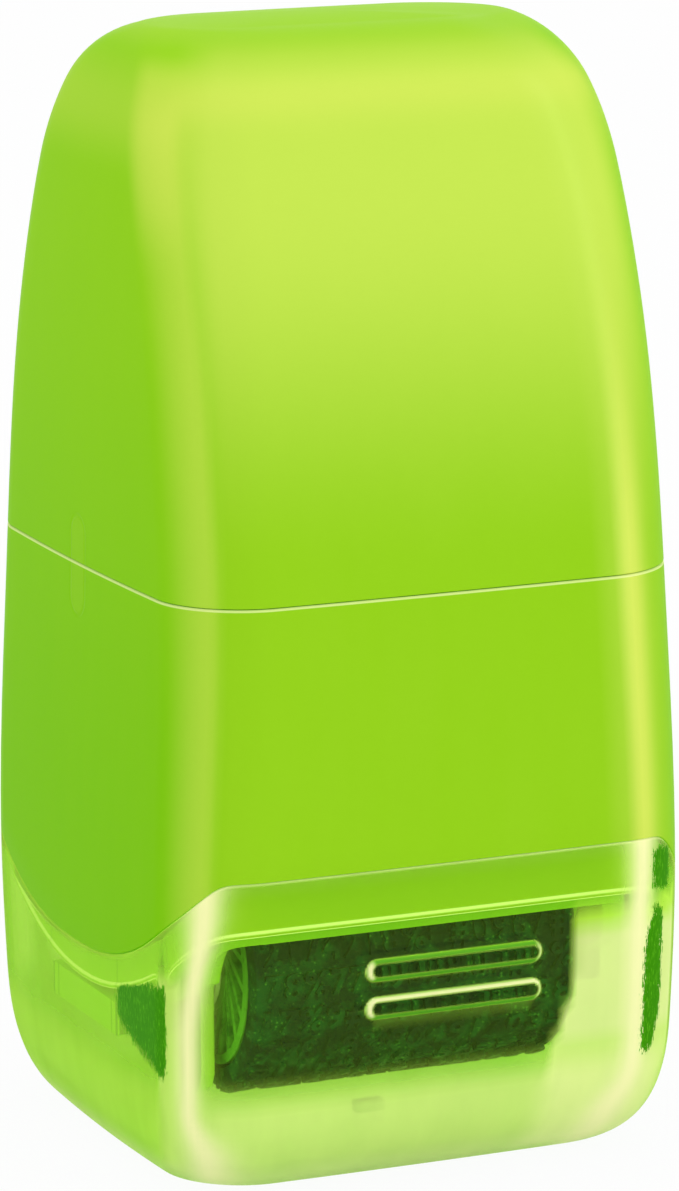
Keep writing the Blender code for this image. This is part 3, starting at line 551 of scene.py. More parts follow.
def perimeter(front=None):
    """Stations around the section: corner-centre factors and the direction of the corner radius."""
    signs = [(1, 1), (-1, 1), (-1, -1), (1, -1)]
    flat = even(FLAT_STEPS)
    stations = []
    for quarter, run in enumerate((flat, flat, front or flat, flat)):
        (sign_x, sign_y), (next_x, next_y) = signs[quarter], signs[(quarter + 1) % 4]
        stations += [(sign_x, sign_y, (quarter + step / CORNER_STEPS) * math.pi / 2)
                     for step in range(CORNER_STEPS + 1)]
        stations += [(sign_x + (next_x - sign_x) * share, sign_y + (next_y - sign_y) * share,
                      (quarter + 1) * math.pi / 2) for share in run]
    return stations


def skin_point(station, z, inset=0.0, floor=0.0):
    """Point of the skin at a station and height, moved in by an inset."""
    factor_x, factor_y, angle = station
    half_x, half_y = (half - inset for half in half_sizes(z, floor))
    radius = corner_radius(z, half_x, half_y, inset)
    x = factor_x * (half_x - radius) + radius * math.cos(angle)
    y = factor_y * (half_y - radius) + radius * math.sin(angle)
    bowed_x = x * (1 + SIDE_BOW / half_x * (1 - (y / half_y) ** 2))
    bowed_y = y * (1 + FRONT_BOW / half_y * (1 - (x / half_x) ** 2))
    return Vector((bowed_x, bowed_y, z))


def run_from_side(station):
    """Length along the section from the middle of the nearest narrow side."""
    factor_x, factor_y, angle = station
    half_x, half_y = half_sizes(RIM_FRONT)
    radius = corner_radius(RIM_FRONT, half_x, half_y, 0.0)
    swing = math.atan2(abs(math.sin(angle)), abs(math.cos(angle)))
    flat = (half_y - radius) * abs(factor_y) + (half_x - radius) * (1 - abs(factor_x))
    return flat + radius * swing


def dipping_edge(station, side, front, reach, power, sharpness):
    """Height of an edge that dips on the narrow sides and runs level on the wide ones."""
    share = (run_from_side(station) / reach) ** power
    return side + (front - side) * share / (1 + share ** sharpness) ** (1 / sharpness)


def rim_height(station):
    return dipping_edge(station, RIM_SIDE, RIM_FRONT, RIM_REACH, RIM_POWER, RIM_SHARPNESS)


def neck_height(station):
    return dipping_edge(station, NECK_SIDE, NECK_FRONT, NECK_REACH, NECK_POWER, NECK_SHARPNESS)


def past_corner(station):
    """Length along the skin from the middle of the nearest rounded corner, above 0 towards the wide faces."""
    factor_x, factor_y, angle = station
    radius = (CORNER_LOW + CORNER_HIGH) / 2
    swing = math.atan2(abs(math.sin(angle)), abs(math.cos(angle))) - math.pi / 4
    flat = (WIDTH / 2 - radius) * (1 - abs(factor_x)) - (DEPTH / 2 - radius) * (1 - abs(factor_y))
    return swing * radius + flat


# Shares that colour the skins, painted highlights and shade among them, worked out from places past the
# corners and heights in millimetres

def ridge(place, middle, spread):
    return math.exp(-((place - middle) / spread) ** 2)


def ramp(value, low, high):
    """Smooth step from 0 at low to 1 at high."""
    share = min(max((value - low) / (high - low), 0.0), 1.0)
    return share * share * (3 - 2 * share)


def inside(value, low, high, soft):
    """1 between two limits, with soft shoulders."""
    return ramp(value, low - soft, low + soft) * (1 - ramp(value, high - soft, high + soft))


def any_of(*parts):
    return 1 - math.prod(1 - part for part in parts)


def bright_corner(station):
    """Opposite corners look alike: one pair gets its painted highlight beside its wide face, the other in its
    middle.
    """
    return station[0] * station[1] < 0


def spot(station, point):
    """Place past the nearest corner, and height."""
    return past_corner(station) / MM, point.z / MM


def wide_share(station, point):
    """1 on the wide faces, 0 on the narrow sides, halfway on the crown."""
    place, z = spot(station, point)
    wide = ramp(place, -1.4, 2.0)
    return wide + (0.5 - wide) * ramp(z, 78.4, 79.9)


def painted_highlight_share(station, point):
    """Painted highlights: where the rounded corners, the brow of the wide faces and the shoulders are painted
    paler.
    """
    place, z = spot(station, point)
    side = 1 - wide_share(station, point)
    brow = 0.28 * ridge(z, 75.9, 1.5) * ramp(place, -1.6, 0.4) + 0.20 * side * inside(z, 72.5, 77.5, 2.2)
    if bright_corner(station):
        band = 0.72 * (1 - ramp(z, 42.0, 72.0)) * ridge(place, 3.2, 1.2)
        return brow + band + 0.10 * ridge(place, 0.0, 3.0) * (1 - ramp(z, 76.0, 79.0))
    shift = 0.2 + 0.035 * max(z - 45.0, 0.0)
    band = ramp(place, -3.6 - shift, 0.1 - shift) * (1 - ramp(place, 0.3 - shift, 1.5 - shift))
    shoulder = side * ramp(z, 64.0, 71.0) * (1 - ramp(z, 77.0, 79.0)) * ramp(place, -5.0, -2.6)
    return any_of(brow, 0.32 * band * (1 - ramp(z, 74.0, 78.0)), 0.34 * shoulder)


def sheen_share(station, point):
    return ridge(spot(station, point)[0], 3.2, 1.8) if bright_corner(station) else 0.0


def mark(bm, stations, name, share, rings=None, rest=0.0):
    """Stores a share on the points of the chosen rings, or of all rings, and another on the rest."""
    layer = bm.verts.layers.float.new(name)
    count = len(stations)
    chosen = range(len(bm.verts) // count) if rings is None else rings
    for index, vert in enumerate(bm.verts):
        vert[layer] = share(stations[index % count], vert.co) if index // count in chosen else rest


# Mesh makers

def link(name, data):
    item = bpy.data.objects.new(name, data)
    bpy.context.scene.collection.objects.link(item)
    return item


def link_mesh(name, bm, finish):
    mesh = bpy.data.meshes.new(name)
    bm.to_mesh(mesh)
    bm.free()
    mesh.materials.append(finish)
    return link(name, mesh)


def new_piece(name, bm, finish, body, replaces=(), smooth=40.0):
    """Links a mesh as a piece that rides on a body and stands for its solids."""
    piece = link_mesh(name, bm, finish)
    piece.data.shade_smooth()
    piece.data.set_sharp_from_angle(angle=math.radians(smooth))
    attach(piece, body)
    if replaces:
        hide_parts(*replaces)


def loft(rings, closed=False, start_face=False, end_face=False):
    """Skin through rings of equal count."""
    bm = bmesh.new()
    loops = [[bm.verts.new(point) for point in points] for points in rings]
    pairs = list(zip(loops, loops[1:]))
    if closed:
        pairs.append((loops[-1], loops[0]))
    count = len(loops[0])
    for low, high in pairs:
        for i in range(count):
            j = (i + 1) % count
            bm.faces.new((low[i], low[j], high[j], high[i]))
    if start_face:
        fan(bm, loops[0], True)
    if end_face:
        fan(bm, loops[-1], False)
    bmesh.ops.recalc_face_normals(bm, faces=bm.faces)
    return bm


def fan(bm, loop, flip):
    """Closes a loop with faces that meet in its middle."""
    centre = bm.verts.new(sum((v.co for v in loop), Vector()) / len(loop))
    for start, end in zip(loop, loop[1:] + loop[:1]):
        bm.faces.new((end, start, centre) if flip else (start, end, centre))


def turn_gaps(step, steps):
    """1 - cos and 1 - sin of the angle that a step of a quarter turn reaches."""
    angle = math.pi / 2 * step / steps
    return 1 - math.cos(angle), 1 - math.sin(angle)


def at(station, height):
    """A height, or what a function of the station gives for it."""
    return height(station) if callable(height) else height


def raised(height, rise):
    return lambda station: at(station, height) + rise


def between(low, high, share):
    """Height at a share of the way between two heights."""
    def height(station):
        start, end = at(station, low), at(station, high)
        return start + (end - start) * share
    return height


def ring(stations, height, inset=0.0, floor=0.0):
    """A ring of points on the skin: height is a value or a function of the station."""
    return [skin_point(station, at(station, height), inset, floor) for station in stations]


def rounded_edge(stations, height, inset, radius, up):
    """Rings of a small rounding between a skin and a level face at an edge height."""
    rings = []
    for step in range(EDGE_STEPS + 1):
        move, drop = (radius * gap for gap in turn_gaps(step, EDGE_STEPS))
        rings.append(ring(stations, raised(height, -drop if up else drop), inset + move))
    return rings if up else list(reversed(rings))


def add_block(bm, matrix, edge, segments):
    """Adds a block with rounded edges: the matrix gives its size, turn and place."""
    made = bmesh.ops.create_cube(bm, size=1.0, matrix=matrix)
    edges = list(dict.fromkeys(side for vert in made["verts"] for side in vert.link_edges))
    bmesh.ops.bevel(bm, geom=edges, offset=edge, segments=segments, profile=0.5, affect="EDGES")


# Housing

def everywhere(station, point):
    return 1.0


def mark_body(bm, stations, painted_highlight_rings=(), neck_rings=()):
    mark(bm, stations, "wide", wide_share, rest=0.5)
    mark(bm, stations, "glow", painted_highlight_share)
    mark(bm, stations, "sheen", sheen_share)
    mark(bm, stations, "neck", everywhere, neck_rings)
    mark(bm, stations, "edge", everywhere, painted_highlight_rings)
    return bm


def make_handle(finish):
    """Upper casing: a skin with a rounded crown, and a lining."""
    stations = perimeter()
    low = PARTING + PARTING_GAP / 2
    turn = max(TOP_RISE)
    straight = HEIGHT - turn - low - EDGE
    rings = [ring(stations, low, HANDLE_WALL)]
    rings += rounded_edge(stations, low, 0.0, FINE_EDGE, up=False)
    rings += [ring(stations, low + EDGE + straight * step / HANDLE_STEPS) for step in range(HANDLE_STEPS + 1)]
    rings += [ring(stations, HEIGHT - turn * turn_gaps(step, TURN_STEPS)[1])
              for step in range(1, TURN_STEPS + 1)]
    top_ring = rings[-1]
    for share in CROWN_SHARES:
        lifted = HEIGHT + CROWN * (1 - share * share)
        rings.append([Vector((p.x * share, p.y * share, lifted)) for p in top_ring])
    skin = mark_body(loft(rings, end_face=True), stations)
    new_piece("handle_skin", skin, finish, "housing", ["handle_shell"])
    inner = [ring(stations, low + (HEIGHT - low) * share, HANDLE_WALL) for share in LINING_SHARES]
    lining = mark_body(loft(inner, end_face=True), stations)
    new_piece("handle_lining", lining, finish, "housing")


def make_body(finish):
    """Lower casing as one closed profile: skin, spigot, stop ledge and the neck inside the cap."""
    stations = perimeter()
    shoulder, deep_shoulder = raised(rim_height, SHOULDER_GAP), raised(rim_height, GAP)
    top, spigot_top = PARTING - PARTING_GAP / 2, PARTING + SPIGOT_HEIGHT
    neck_inset, spigot = CAP_WALL + GAP, HANDLE_WALL + GAP
    stop_top, neck_root = STOP_UNDERSIDE + STOP_THICK, RIM_FRONT + NECK_ROOT
    rings = rounded_edge(stations, shoulder, 0.0, FINE_EDGE, up=False)
    rings += [ring(stations, between(shoulder, top, share)) for share in BODY_SHARES]
    rings += [ring(stations, top - EDGE - BODY_EDGE_START)]
    painted_highlight_rings = list(range(len(rings), len(rings) + EDGE_STEPS))
    rings += rounded_edge(stations, top, 0.0, EDGE, up=True)
    inner_profile = (
        (top, spigot), (spigot_top, spigot), (spigot_top, spigot + SPIGOT_WALL),
        (stop_top, spigot + SPIGOT_WALL), (stop_top, BODY_WALL + STOP_WIDTH),
        (STOP_UNDERSIDE, BODY_WALL + STOP_WIDTH), (STOP_UNDERSIDE, BODY_WALL),
        (neck_root + NECK_WALL, BODY_WALL), (neck_root, neck_inset + NECK_WALL),
        (neck_height, neck_inset + NECK_WALL))
    rings += [ring(stations, height, inset) for height, inset in inner_profile]
    neck_start = len(rings)
    rings += rounded_edge(stations, neck_height, neck_inset - BEAD_PROUD, BEAD_EDGE, up=False)
    # The bead's rounding, just made, and its upper edge, made next, are painted pale as highlights
    painted_highlight_rings += [len(rings) + step for step in (-3, -2, 1, 2)]
    rings += [ring(stations, raised(neck_height, rise), neck_inset - proud) for rise, proud in BEAD_PROFILE]
    above_bead = raised(neck_height, BEAD_TOP)
    rings += [ring(stations, between(above_bead, deep_shoulder, share), neck_inset) for share in NECK_SHARES]
    rings += [ring(stations, deep_shoulder, neck_inset)]
    neck_rings = range(neck_start, len(rings))
    rings += [ring(stations, shoulder, CAP_WALL)]
    skin = mark_body(loft(rings, closed=True), stations, painted_highlight_rings, neck_rings)
    new_piece("body_skin", skin, finish, "housing", ["body_shell"])


# Cap

def rib_share(x, z):
    """0 on a raised bar's middle line, 1 at its edge, more beyond."""
    over = max(abs(x - RIB_OFFSET) - (RIB_LENGTH - RIB_WIDTH) / 2, 0.0)
    aside = min(math.hypot(over, z - RIB_MIDDLE - index * RIB_PITCH) for index in (-0.5, 0.5))
    return aside / (RIB_WIDTH / 2)


def rib_lift(x, z):
    """Height of the raised bars above the cap's front."""
    away = min(rib_share(x, z), 1.0)
    return RIB_RELIEF * (1 - away ** 4) ** 0.5


def rib_slope(point):
    """1 on the bars' steep edges, broader on the lower ones, to 0 on their tops and beside them."""
    if point.y > 0:
        return 0.0
    above = min((point.z - RIB_MIDDLE - index * RIB_PITCH for index in (-0.5, 0.5)), key=abs)
    middle, reach = (0.88, 0.25) if above > 0 else (0.84, 0.42)
    return ramp(1 - abs(rib_share(point.x, point.z) - middle) / reach, 0.0, 0.6)


def rib_painted_highlight(point):
    """Painted highlights on the bars' edges: the lower bar's upper edge and the rounded ends."""
    if point.y > 0:
        return 0.0
    low_bar = RIB_MIDDLE - RIB_PITCH / 2
    upper_edge = rib_slope(point) * (low_bar + 0.4 * MM < point.z < low_bar + RIB_WIDTH)
    straight = (RIB_LENGTH - RIB_WIDTH) / 2
    end = ramp(abs(point.x - RIB_OFFSET), straight + 0.05 * MM, straight + 0.5 * MM)
    end *= ramp(1 - abs(rib_share(point.x, point.z) - 0.80) / 0.36, 0.0, 0.7)
    return max(upper_edge, end if point.x < RIB_OFFSET else 0.7 * end)


def rib_painted_shade(station, point):
    """Painted shade: a dark line around the bars, where their edges get no painted highlight."""
    return rib_slope(point) * (1 - rib_painted_highlight(point))


def corner_painted_highlight(station, place, z):
    """Painted highlight on the cap's rounded corners."""
    foot, rise = ramp(7.0 - z, 0.0, 4.0), ramp(z, 17.0, 22.0)
    if bright_corner(station):
        return 0.97 * ridge(place, 3.8 - 0.4 * rise + 1.2 * foot, 1.1 + 0.45 * rise + 0.8 * foot)
    middle = -0.9 + 1.25 * ramp(z, 12.0, 22.0) + 1.2 * foot
    return 0.97 * ridge(place, middle, 1.1 + 0.55 * rise + 1.0 * foot)


def corner_haze(station, place, z):
    """Cloudier plastic beside the corners, faint and soft at the back."""
    if station[1] > 0:
        return 0.3 * inside(place, -1.0, 5.0, 2.4) * inside(z, 2.0, 16.0, 2.0)
    if bright_corner(station):
        soft = 0.35 + 1.4 * ramp(8.0 - z, 0.0, 3.0)
        reach = 8.9 + 2.0 * ramp(15.0 - z, 0.0, 8.0)
        return 0.80 * inside(place, -0.8, reach, soft) * inside(z, 1.0, 19.2, 0.4)
    soft = 0.25 + 1.3 * ramp(9.0 - z, 0.0, 4.0)
    return 0.7 * inside(place, -4.0, -1.6, soft) * inside(z, 1.5, 16.4, 0.8)


def painted_shade_patch(place, z):
    """Painted shade: a dark green patch with a slanted lower edge on the narrow side, beside the left corner
    of the front.
    """
    beyond = -2.9 - place
    low, high = 8.7 + 0.33 * beyond, 15.9 - 0.24 * beyond
    rise = ramp(z, low - 1.3, low + 1.5) * (1 - ramp(z, high - 0.3, high + 0.3))
    return inside(place, -10.4, -2.9, 0.2) * rise


def cap_painted_shade(station, point):
    """Painted shade: dark strips where the wall turns away beside the front corners, and the dark patch
    beside the left one.
    """
    place, z = spot(station, point)
    if station[1] > 0:
        return 0.0
    if not bright_corner(station):
        return painted_shade_patch(place, z)
    side_end, wide_end = 1.2 + 0.7 * ramp(11.0 - z, 0.0, 3.0), 3.2 - 0.6 * ramp(z, 15.0, 18.0)
    low = inside(place, side_end, wide_end, 0.5) * inside(z, 7.7, 18.4, 0.7)
    high = inside(place, 0.3, 2.4, 0.45) * inside(z, 19.5, 22.7, 0.5)
    return max(low, high)


def lip_share(station, point):
    """1 on the rim's edge, to 0 just below its rounding."""
    return max(1 - (rim_height(station) - point.z) / (1.2 * LIP), 0.0)


def foot_share(z):
    """1 low on the cap, to 0 where its wall is straight."""
    return ramp(9.8 - z, 0.0, 3.5)


def cap_frost_and_highlight(station, point):
    """How cloudy the cap's plastic is, with the painted highlights of its corners, bars and lip."""
    place, z = spot(station, point)
    wide = wide_share(station, point)
    return any_of(corner_painted_highlight(station, place, z), corner_haze(station, place, z), 0.34 * (1 - wide),
                  0.8 * lip_share(station, point), (0.35 + 0.40 * wide) * foot_share(z),
                  0.85 * rib_slope(point), 0.9 * rib_painted_highlight(point))


def cap_painted_light(station, point):
    """How pale its cloudy parts are: painted highlights on the corners, bars, lip and foot, and painted light
    in the haze.
    """
    place, z = spot(station, point)
    wide = wide_share(station, point)
    painted_haze_light = 0.3
    if bright_corner(station):
        painted_haze_light = (0.8 - 0.42 * ramp(10.2 - z, 0.0, 1.6)) * ramp(18.2 - z, 0.0, 1.6)
    return any_of(corner_painted_highlight(station, place, z), painted_haze_light * corner_haze(station, place, z), rib_painted_highlight(point),
                  0.9 * wide * lip_share(station, point), 0.40 * wide * foot_share(z),
                  0.45 * ridge(z, 1.0, 1.2))


def make_cap(finish):
    """See-through cap with its raised bars, outer face first, then the lip and the inner face."""
    stations = perimeter(front=rib_shares())
    turn = max(BASE_RISE)
    lip_start = raised(rim_height, -LIP)
    reach = RIB_PITCH / 2 + RIB_WIDTH / 2 + RIB_RISE_MARGIN
    span = RIM_FRONT - LIP - turn
    low_share, high_share = ((RIB_MIDDLE + side * reach - turn) / span for side in (-1, 1))
    shares = [low_share * step / BELOW_RIB_STEPS for step in range(1, BELOW_RIB_STEPS)]
    shares += [low_share + (high_share - low_share) * step / RIB_RISE_STEPS
               for step in range(RIB_RISE_STEPS + 1)]
    shares += [high_share + (1 - high_share) * step / ABOVE_RIB_STEPS for step in range(1, ABOVE_RIB_STEPS)]
    rings = [ring(stations, turn * turn_gaps(step, TURN_STEPS)[0]) for step in range(TURN_STEPS + 1)]
    for share in shares:
        points = ring(stations, between(turn, lip_start, share))
        for point in points:
            if point.y < 0:
                point.y -= rib_lift(point.x, point.z)
        rings.append(points)
    rings += rounded_edge(stations, rim_height, 0.0, LIP, up=True)
    outside = range(len(rings))
    for step in range(EDGE_STEPS, -1, -1):
        move, drop = (LIP * gap for gap in turn_gaps(step, EDGE_STEPS))
        rings.append(ring(stations, raised(rim_height, -drop), CAP_WALL - move))
    rings += [ring(stations, between(turn, lip_start, share), CAP_WALL) for share in CAP_INNER_SHARES]
    # The inner foot does with every second step, from a little below the straight wall
    for step in range(TURN_STEPS - 4, -1, -2):
        z = CAP_WALL + (turn - CAP_WALL) * turn_gaps(step, TURN_STEPS)[0]
        rings.append(ring(stations, z, CAP_WALL, floor=CAP_WALL))
    bm = loft(rings, start_face=True, end_face=True)
    for name, share in (("frost_and_highlight", cap_frost_and_highlight), ("pale", cap_painted_light), ("painted_shade", cap_painted_shade), ("painted_rib_shade", rib_painted_shade)):
        mark(bm, stations, name, share, outside)
    new_piece("cap_skin", bm, finish, "cap", ["cap_shell"], smooth=50.0)


def make_rest_block(finish):
    """Small block moulded on the cap's floor under the drum."""
    bm = bmesh.new()
    place = Matrix.Translation((0.0, DRUM_Y, CAP_WALL + BLOCK_LIFT))
    add_block(bm, place @ Matrix.Diagonal((*BLOCK_SIZE, 1.0)), BLOCK_EDGE, 3)
    new_piece("cap_rest_block", bm, finish, "cap")


# Drum

def around_drum(along, across, height):
    """Point at a place along the drum's length, an arc length around it and a height on its base."""
    angle = across / DRUM_BASE
    radius = DRUM_BASE + height
    return Vector((along, DRUM_Y - radius * math.cos(angle), DRUM_Z + radius * math.sin(angle)))


def turned_mesh(profile, steps, y=DRUM_Y, z=DRUM_Z, bm=None):
    """A closed ring turned about X through (y, z), new or added to a mesh, from (along, radius) pairs."""
    bm = bmesh.new() if bm is None else bm
    loops = []
    for step in range(steps):
        angle = 2 * math.pi * step / steps
        loops.append([bm.verts.new((along, y + radius * math.cos(angle), z + radius * math.sin(angle)))
                      for along, radius in profile])
    for loop, following in zip(loops, loops[1:] + loops[:1]):
        for i in range(len(profile)):
            j = (i + 1) % len(profile)
            bm.faces.new((loop[i], loop[j], following[j], following[i]))
    bmesh.ops.recalc_face_normals(bm, faces=bm.faces)
    return bm


def rounded_tube(half_length, outer, inner, edge, middle=0.0):
    """Profile of a tube with rounded outer rims."""
    profile = []
    for side in (-1, 1):
        arc = []
        for step in range(TUBE_EDGE_STEPS + 1):
            along, up = turn_gaps(step, TUBE_EDGE_STEPS)
            arc.append((middle + side * (half_length - edge * along), outer - edge * up))
        profile += arc if side < 0 else list(reversed(arc))
    return profile + [(middle + half_length, inner), (middle - half_length, inner)]


def digit_mesh(text):
    """Flat raised digits as a mesh, from Blender's own built-in face."""
    curve = bpy.data.curves.new("digits", "FONT")
    curve.body, curve.align_x = text, "CENTER"
    curve.size, curve.offset, curve.extrude = DIGIT_SIZE, DIGIT_BOLD, DRUM_RELIEF
    curve.resolution_u, curve.space_character = DIGIT_CURVE_STEPS, DIGIT_SPACING
    holder = link("digits", curve)
    bpy.context.view_layer.update()
    mesh = bpy.data.meshes.new_from_object(holder.evaluated_get(bpy.context.evaluated_depsgraph_get()))
    bpy.data.objects.remove(holder)
    bpy.data.curves.remove(curve)
    return mesh


def make_sleeve(finish):
    """Rubber sleeve and the rows of raised digits wrapped around it."""
    profile = rounded_tube(DRUM_HALF_LENGTH, DRUM_BASE, DRUM_BASE - SLEEVE_WALL, SLEEVE_EDGE)
    tube = turned_mesh(profile, DRUM_STEPS)
    new_piece("drum_sleeve_skin", tube, finish, "drum", ["drum_sleeve"])
    order = random.Random(DIGIT_SEED)
    bm = bmesh.new()
    row_pitch = 2 * math.pi * DRUM_BASE / DIGIT_ROWS
    for row in range(DIGIT_ROWS):
        mesh = digit_mesh("".join(order.choice("0123456789#=%") for _ in range(DIGITS_IN_ROW)))
        xs = [v.co.x for v in mesh.vertices]
        ys = [v.co.y for v in mesh.vertices]
        middle_x, middle_y = (min(xs) + max(xs)) / 2, (min(ys) + max(ys)) / 2
        fit = (2 * DRUM_HALF_LENGTH - DIGIT_MARGIN) / (max(xs) - min(xs))
        for vert in mesh.vertices:
            height = DRUM_RELIEF if vert.co.z > 0 else -DIGIT_SINK
            across = row * row_pitch + (vert.co.y - middle_y) * DIGIT_STRETCH
            vert.co = around_drum((vert.co.x - middle_x) * fit, across, height)
        bm.from_mesh(mesh)
        bpy.data.meshes.remove(mesh)
    new_piece("drum_digits", bm, finish, "drum", smooth=30.0)


def make_wheel(side, name, finish, web_shade_finish):
    """Ribbed wheel in the drum's end: a rim and a hub joined by thin spokes, with a web behind them in a dark
    finish as painted shade.
    """
    middle, half = side * (DRUM_HALF_LENGTH - WHEEL_HALF_WIDTH), WHEEL_HALF_WIDTH
    rim_inside = WHEEL_RADIUS - WHEEL_RIM
    bm = turned_mesh(rounded_tube(half, WHEEL_RADIUS, rim_inside, WHEEL_EDGE, middle), WHEEL_STEPS)
    turned_mesh(rounded_tube(half, HUB_RADIUS, HUB_BORE, WHEEL_EDGE, middle), HUB_STEPS, bm=bm)
    web = turned_mesh(rounded_tube(WEB_HALF_WIDTH, WHEEL_RADIUS - WHEEL_RIM / 2, HUB_RADIUS - WEB_OVERLAP,
                                   WEB_EDGE, middle - side * WEB_SHIFT), WHEEL_STEPS)
    # The web's dark finish is painted shade in the pockets between the spokes
    new_piece(f"{name}_wheel_web", web, web_shade_finish, "drum")
    sweep = SPOKE_SWEEP * -side
    root, tip = HUB_RADIUS - SPOKE_OVERLAP, rim_inside + SPOKE_OVERLAP
    run = Vector((0.0, tip * math.cos(sweep) - root, tip * math.sin(sweep)))
    lean = Matrix.Rotation(math.atan2(run.z, run.y), 4, "X")
    size = Matrix.Diagonal((2 * half - WHEEL_EDGE, run.length, SPOKE_WIDTH, 1.0))
    outward = Matrix.Translation(Vector((0.0, root, 0.0)) + run / 2) @ lean
    centre = Matrix.Translation((middle, DRUM_Y, DRUM_Z))
    for spoke in range(SPOKES):
        turn = Matrix.Rotation(2 * math.pi * spoke / SPOKES, 4, "X")
        add_block(bm, centre @ turn @ outward @ size, SPOKE_EDGE, 2)
    new_piece(f"{name}_wheel_skin", bm, finish, "drum", [f"{name}_end_wheel"])


def make_felt(finish):
    """Ink roller's felt with a slightly uneven, fuzzy surface."""
    order = random.Random(FELT_SEED)
    profile = rounded_tube(DRUM_HALF_LENGTH, INK_RADIUS, INK_RADIUS * FELT_BORE_SHARE, FELT_EDGE)
    bm = turned_mesh(profile, WHEEL_STEPS, INK_Y, INK_Z)
    for vert in bm.verts:
        away = Vector((0.0, vert.co.y - INK_Y, vert.co.z - INK_Z))
        if away.length > INK_RADIUS * FELT_OUTSIDE_SHARE:
            vert.co -= away.normalized() * order.uniform(0.0, FELT_FUZZ) * MM
    new_piece("ink_felt_skin", bm, finish, "ink_roller", ["ink_felt"])


# Solids that keep their own shape

def dress(node, finish, bevel):
    """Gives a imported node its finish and, where its edges show, a small moulded edge."""
    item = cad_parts[node]
    item.data.materials.clear()
    item.data.materials.append(finish)
    if bevel:
        item.modifiers.new("weld", "WELD").merge_threshold = WELD_DISTANCE
        edge = item.modifiers.new("edge", "BEVEL")
        edge.width, edge.segments = bevel, SOLID_EDGE_STEPS
        edge.limit_method, edge.angle_limit = "ANGLE", SOFTENED_ANGLE
        edge.harden_normals = True


# Stage, light and camera

def make_floor():
    """Pale floor that keeps the object's shadow and otherwise shows as white."""
    bm = bmesh.new()
    bmesh.ops.create_grid(bm, x_segments=1, y_segments=1, size=FLOOR_HALF_SIZE)
    s = Shading("floor_pale")
    tone = s.blend(s.noise(60.0), (0.86, 0.86, 0.86), (0.90, 0.90, 0.90))
    cloth = s.principled(Base_Color=tone, Roughness=0.85)
    glow = s.node("Emission", {}, {"Color": WHITE, "Strength": 1.0})
    seen = s.background_ray() * FLOOR_WHITE_SHARE
    floor = link_mesh("floor", bm, s.finish(s.mix_shader(seen, cloth, glow)))
    floor.location.z = FLOOR_Z


def make_world():
    """Soft light from all round, seen as plain white."""
    s = Shading("studio", "worlds")
    soft = s.node("Background", {}, {"Color": WORLD_TINT, "Strength": WORLD_STRENGTH})
    white = s.node("Background", {}, {"Color": WHITE})
    s.node("OutputWorld", {}, {"Surface": s.mix_shader(s.background_ray(), soft, white)})
    bpy.context.scene.world = s.owner


def make_lamp(name, place, target, size, power, diffuse):
    lamp = bpy.data.lights.new(name, "AREA")
    lamp.shape = "RECTANGLE"
    lamp.size, lamp.size_y = size
    lamp.energy = power
    item = link(name, lamp)
    item.location = place
    item.rotation_euler = (Vector(target) - Vector(place)).to_track_quat("-Z", "Y").to_euler()
    item.visible_diffuse = item.visible_transmission = diffuse
    item.visible_camera = False


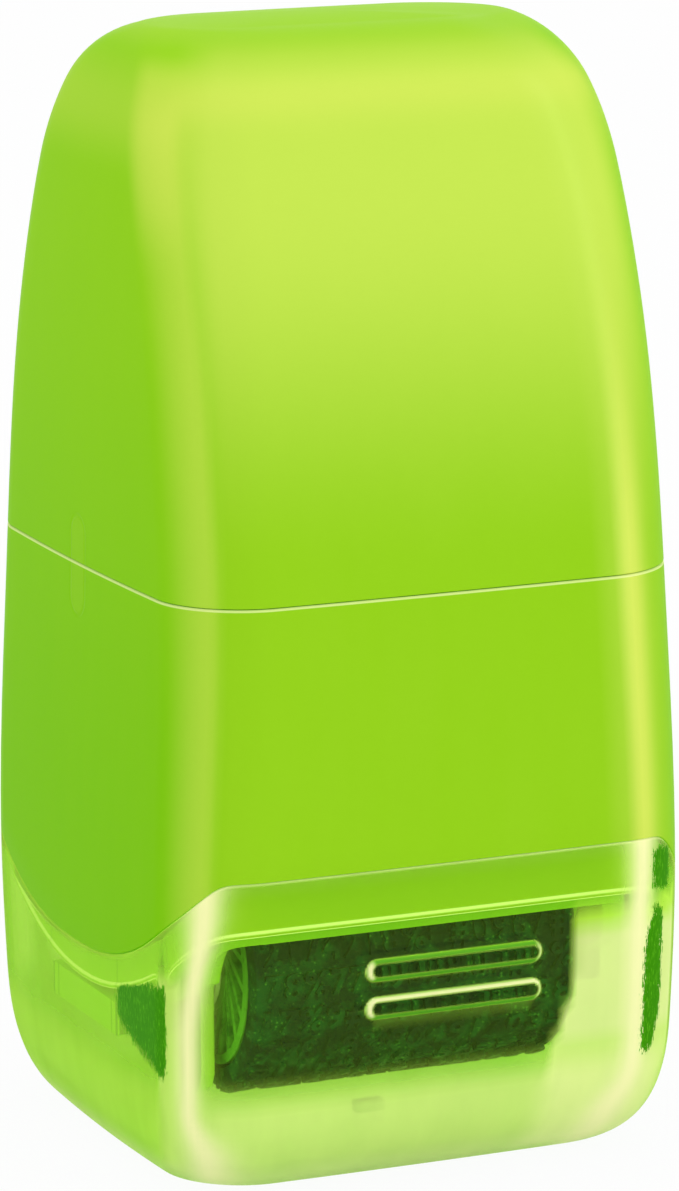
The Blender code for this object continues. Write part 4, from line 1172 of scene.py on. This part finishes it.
def make_camera():
    """Camera that looks from the photograph's side, with its roll."""
    turn, lift = CAMERA_TURN, CAMERA_LIFT
    forward = Vector((math.sin(turn) * math.cos(lift), math.cos(turn) * math.cos(lift), -math.sin(lift)))
    right = Vector((math.cos(turn), -math.sin(turn), 0.0))
    up = right.cross(forward)
    rolled_right = right * math.cos(CAMERA_ROLL) + up * math.sin(CAMERA_ROLL)
    rolled_up = up * math.cos(CAMERA_ROLL) - right * math.sin(CAMERA_ROLL)
    data = bpy.data.cameras.new("camera")
    data.sensor_width = SENSOR
    data.lens = FOCAL_PIXELS * SENSOR / max(IMAGE_WIDTH, IMAGE_HEIGHT)
    data.clip_start = CLIP_START
    camera = link("camera", data)
    axes = Matrix((rolled_right, rolled_up, -forward)).transposed()
    camera.matrix_world = Matrix.Translation(CAMERA_TARGET - forward * CAMERA_DISTANCE) @ axes.to_4x4()
    bpy.context.scene.camera = camera


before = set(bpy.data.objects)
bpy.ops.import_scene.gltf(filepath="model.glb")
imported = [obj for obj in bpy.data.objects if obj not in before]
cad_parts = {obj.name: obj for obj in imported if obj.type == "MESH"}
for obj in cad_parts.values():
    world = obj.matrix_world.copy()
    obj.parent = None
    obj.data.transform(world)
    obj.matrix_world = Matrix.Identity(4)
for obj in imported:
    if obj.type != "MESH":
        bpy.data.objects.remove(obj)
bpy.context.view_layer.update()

make_camera()
make_floor()
make_world()
for name, lamp in LAMPS.items():
    make_lamp(name, *lamp)

lime, pale, plate, tab = body_plastic(), frame_plastic(), plate_plastic(), tab_plastic()
green, dark, white, steel = wheel_plastic(), core_plastic(), bearing_plastic(), ground_steel()

make_handle(lime)
make_body(lime)
make_cap(cap_plastic())
make_rest_block(block_plastic())
make_sleeve(inked_rubber())
make_felt(inked_felt())
for side, name in SIDES:
    make_wheel(side, name, green, dark)

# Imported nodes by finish, slot and the width of their moulded edge in millimetres
for nodes, finish, slot, bevel in (
        ("left_side_plate right_side_plate", plate, "frame_green", 0.2),
        ("left_release_tab right_release_tab", tab, "frame_green", 0.25),
        ("cartridge_case cartridge_lid", pale, "frame_green", 0.2),
        ("left_drum_bush right_drum_bush", white, "bearing_white", 0.08),
        ("left_ink_block right_ink_block", white, "bearing_white", 0.15),
        ("ink_core", white, "bearing_white", 0.1),
        ("left_ink_spring right_ink_spring", steel, "steel", 0.0),
        ("drum_axle", steel, "steel", 0.15),
        ("ink_axle", steel, "steel", 0.12),
        ("drum_core", dark, "drum_dark", 0.1)):
    for node in nodes.split():
        dress(node, finish, bevel * MM)

bpy.context.scene.view_settings.view_transform = "Standard"
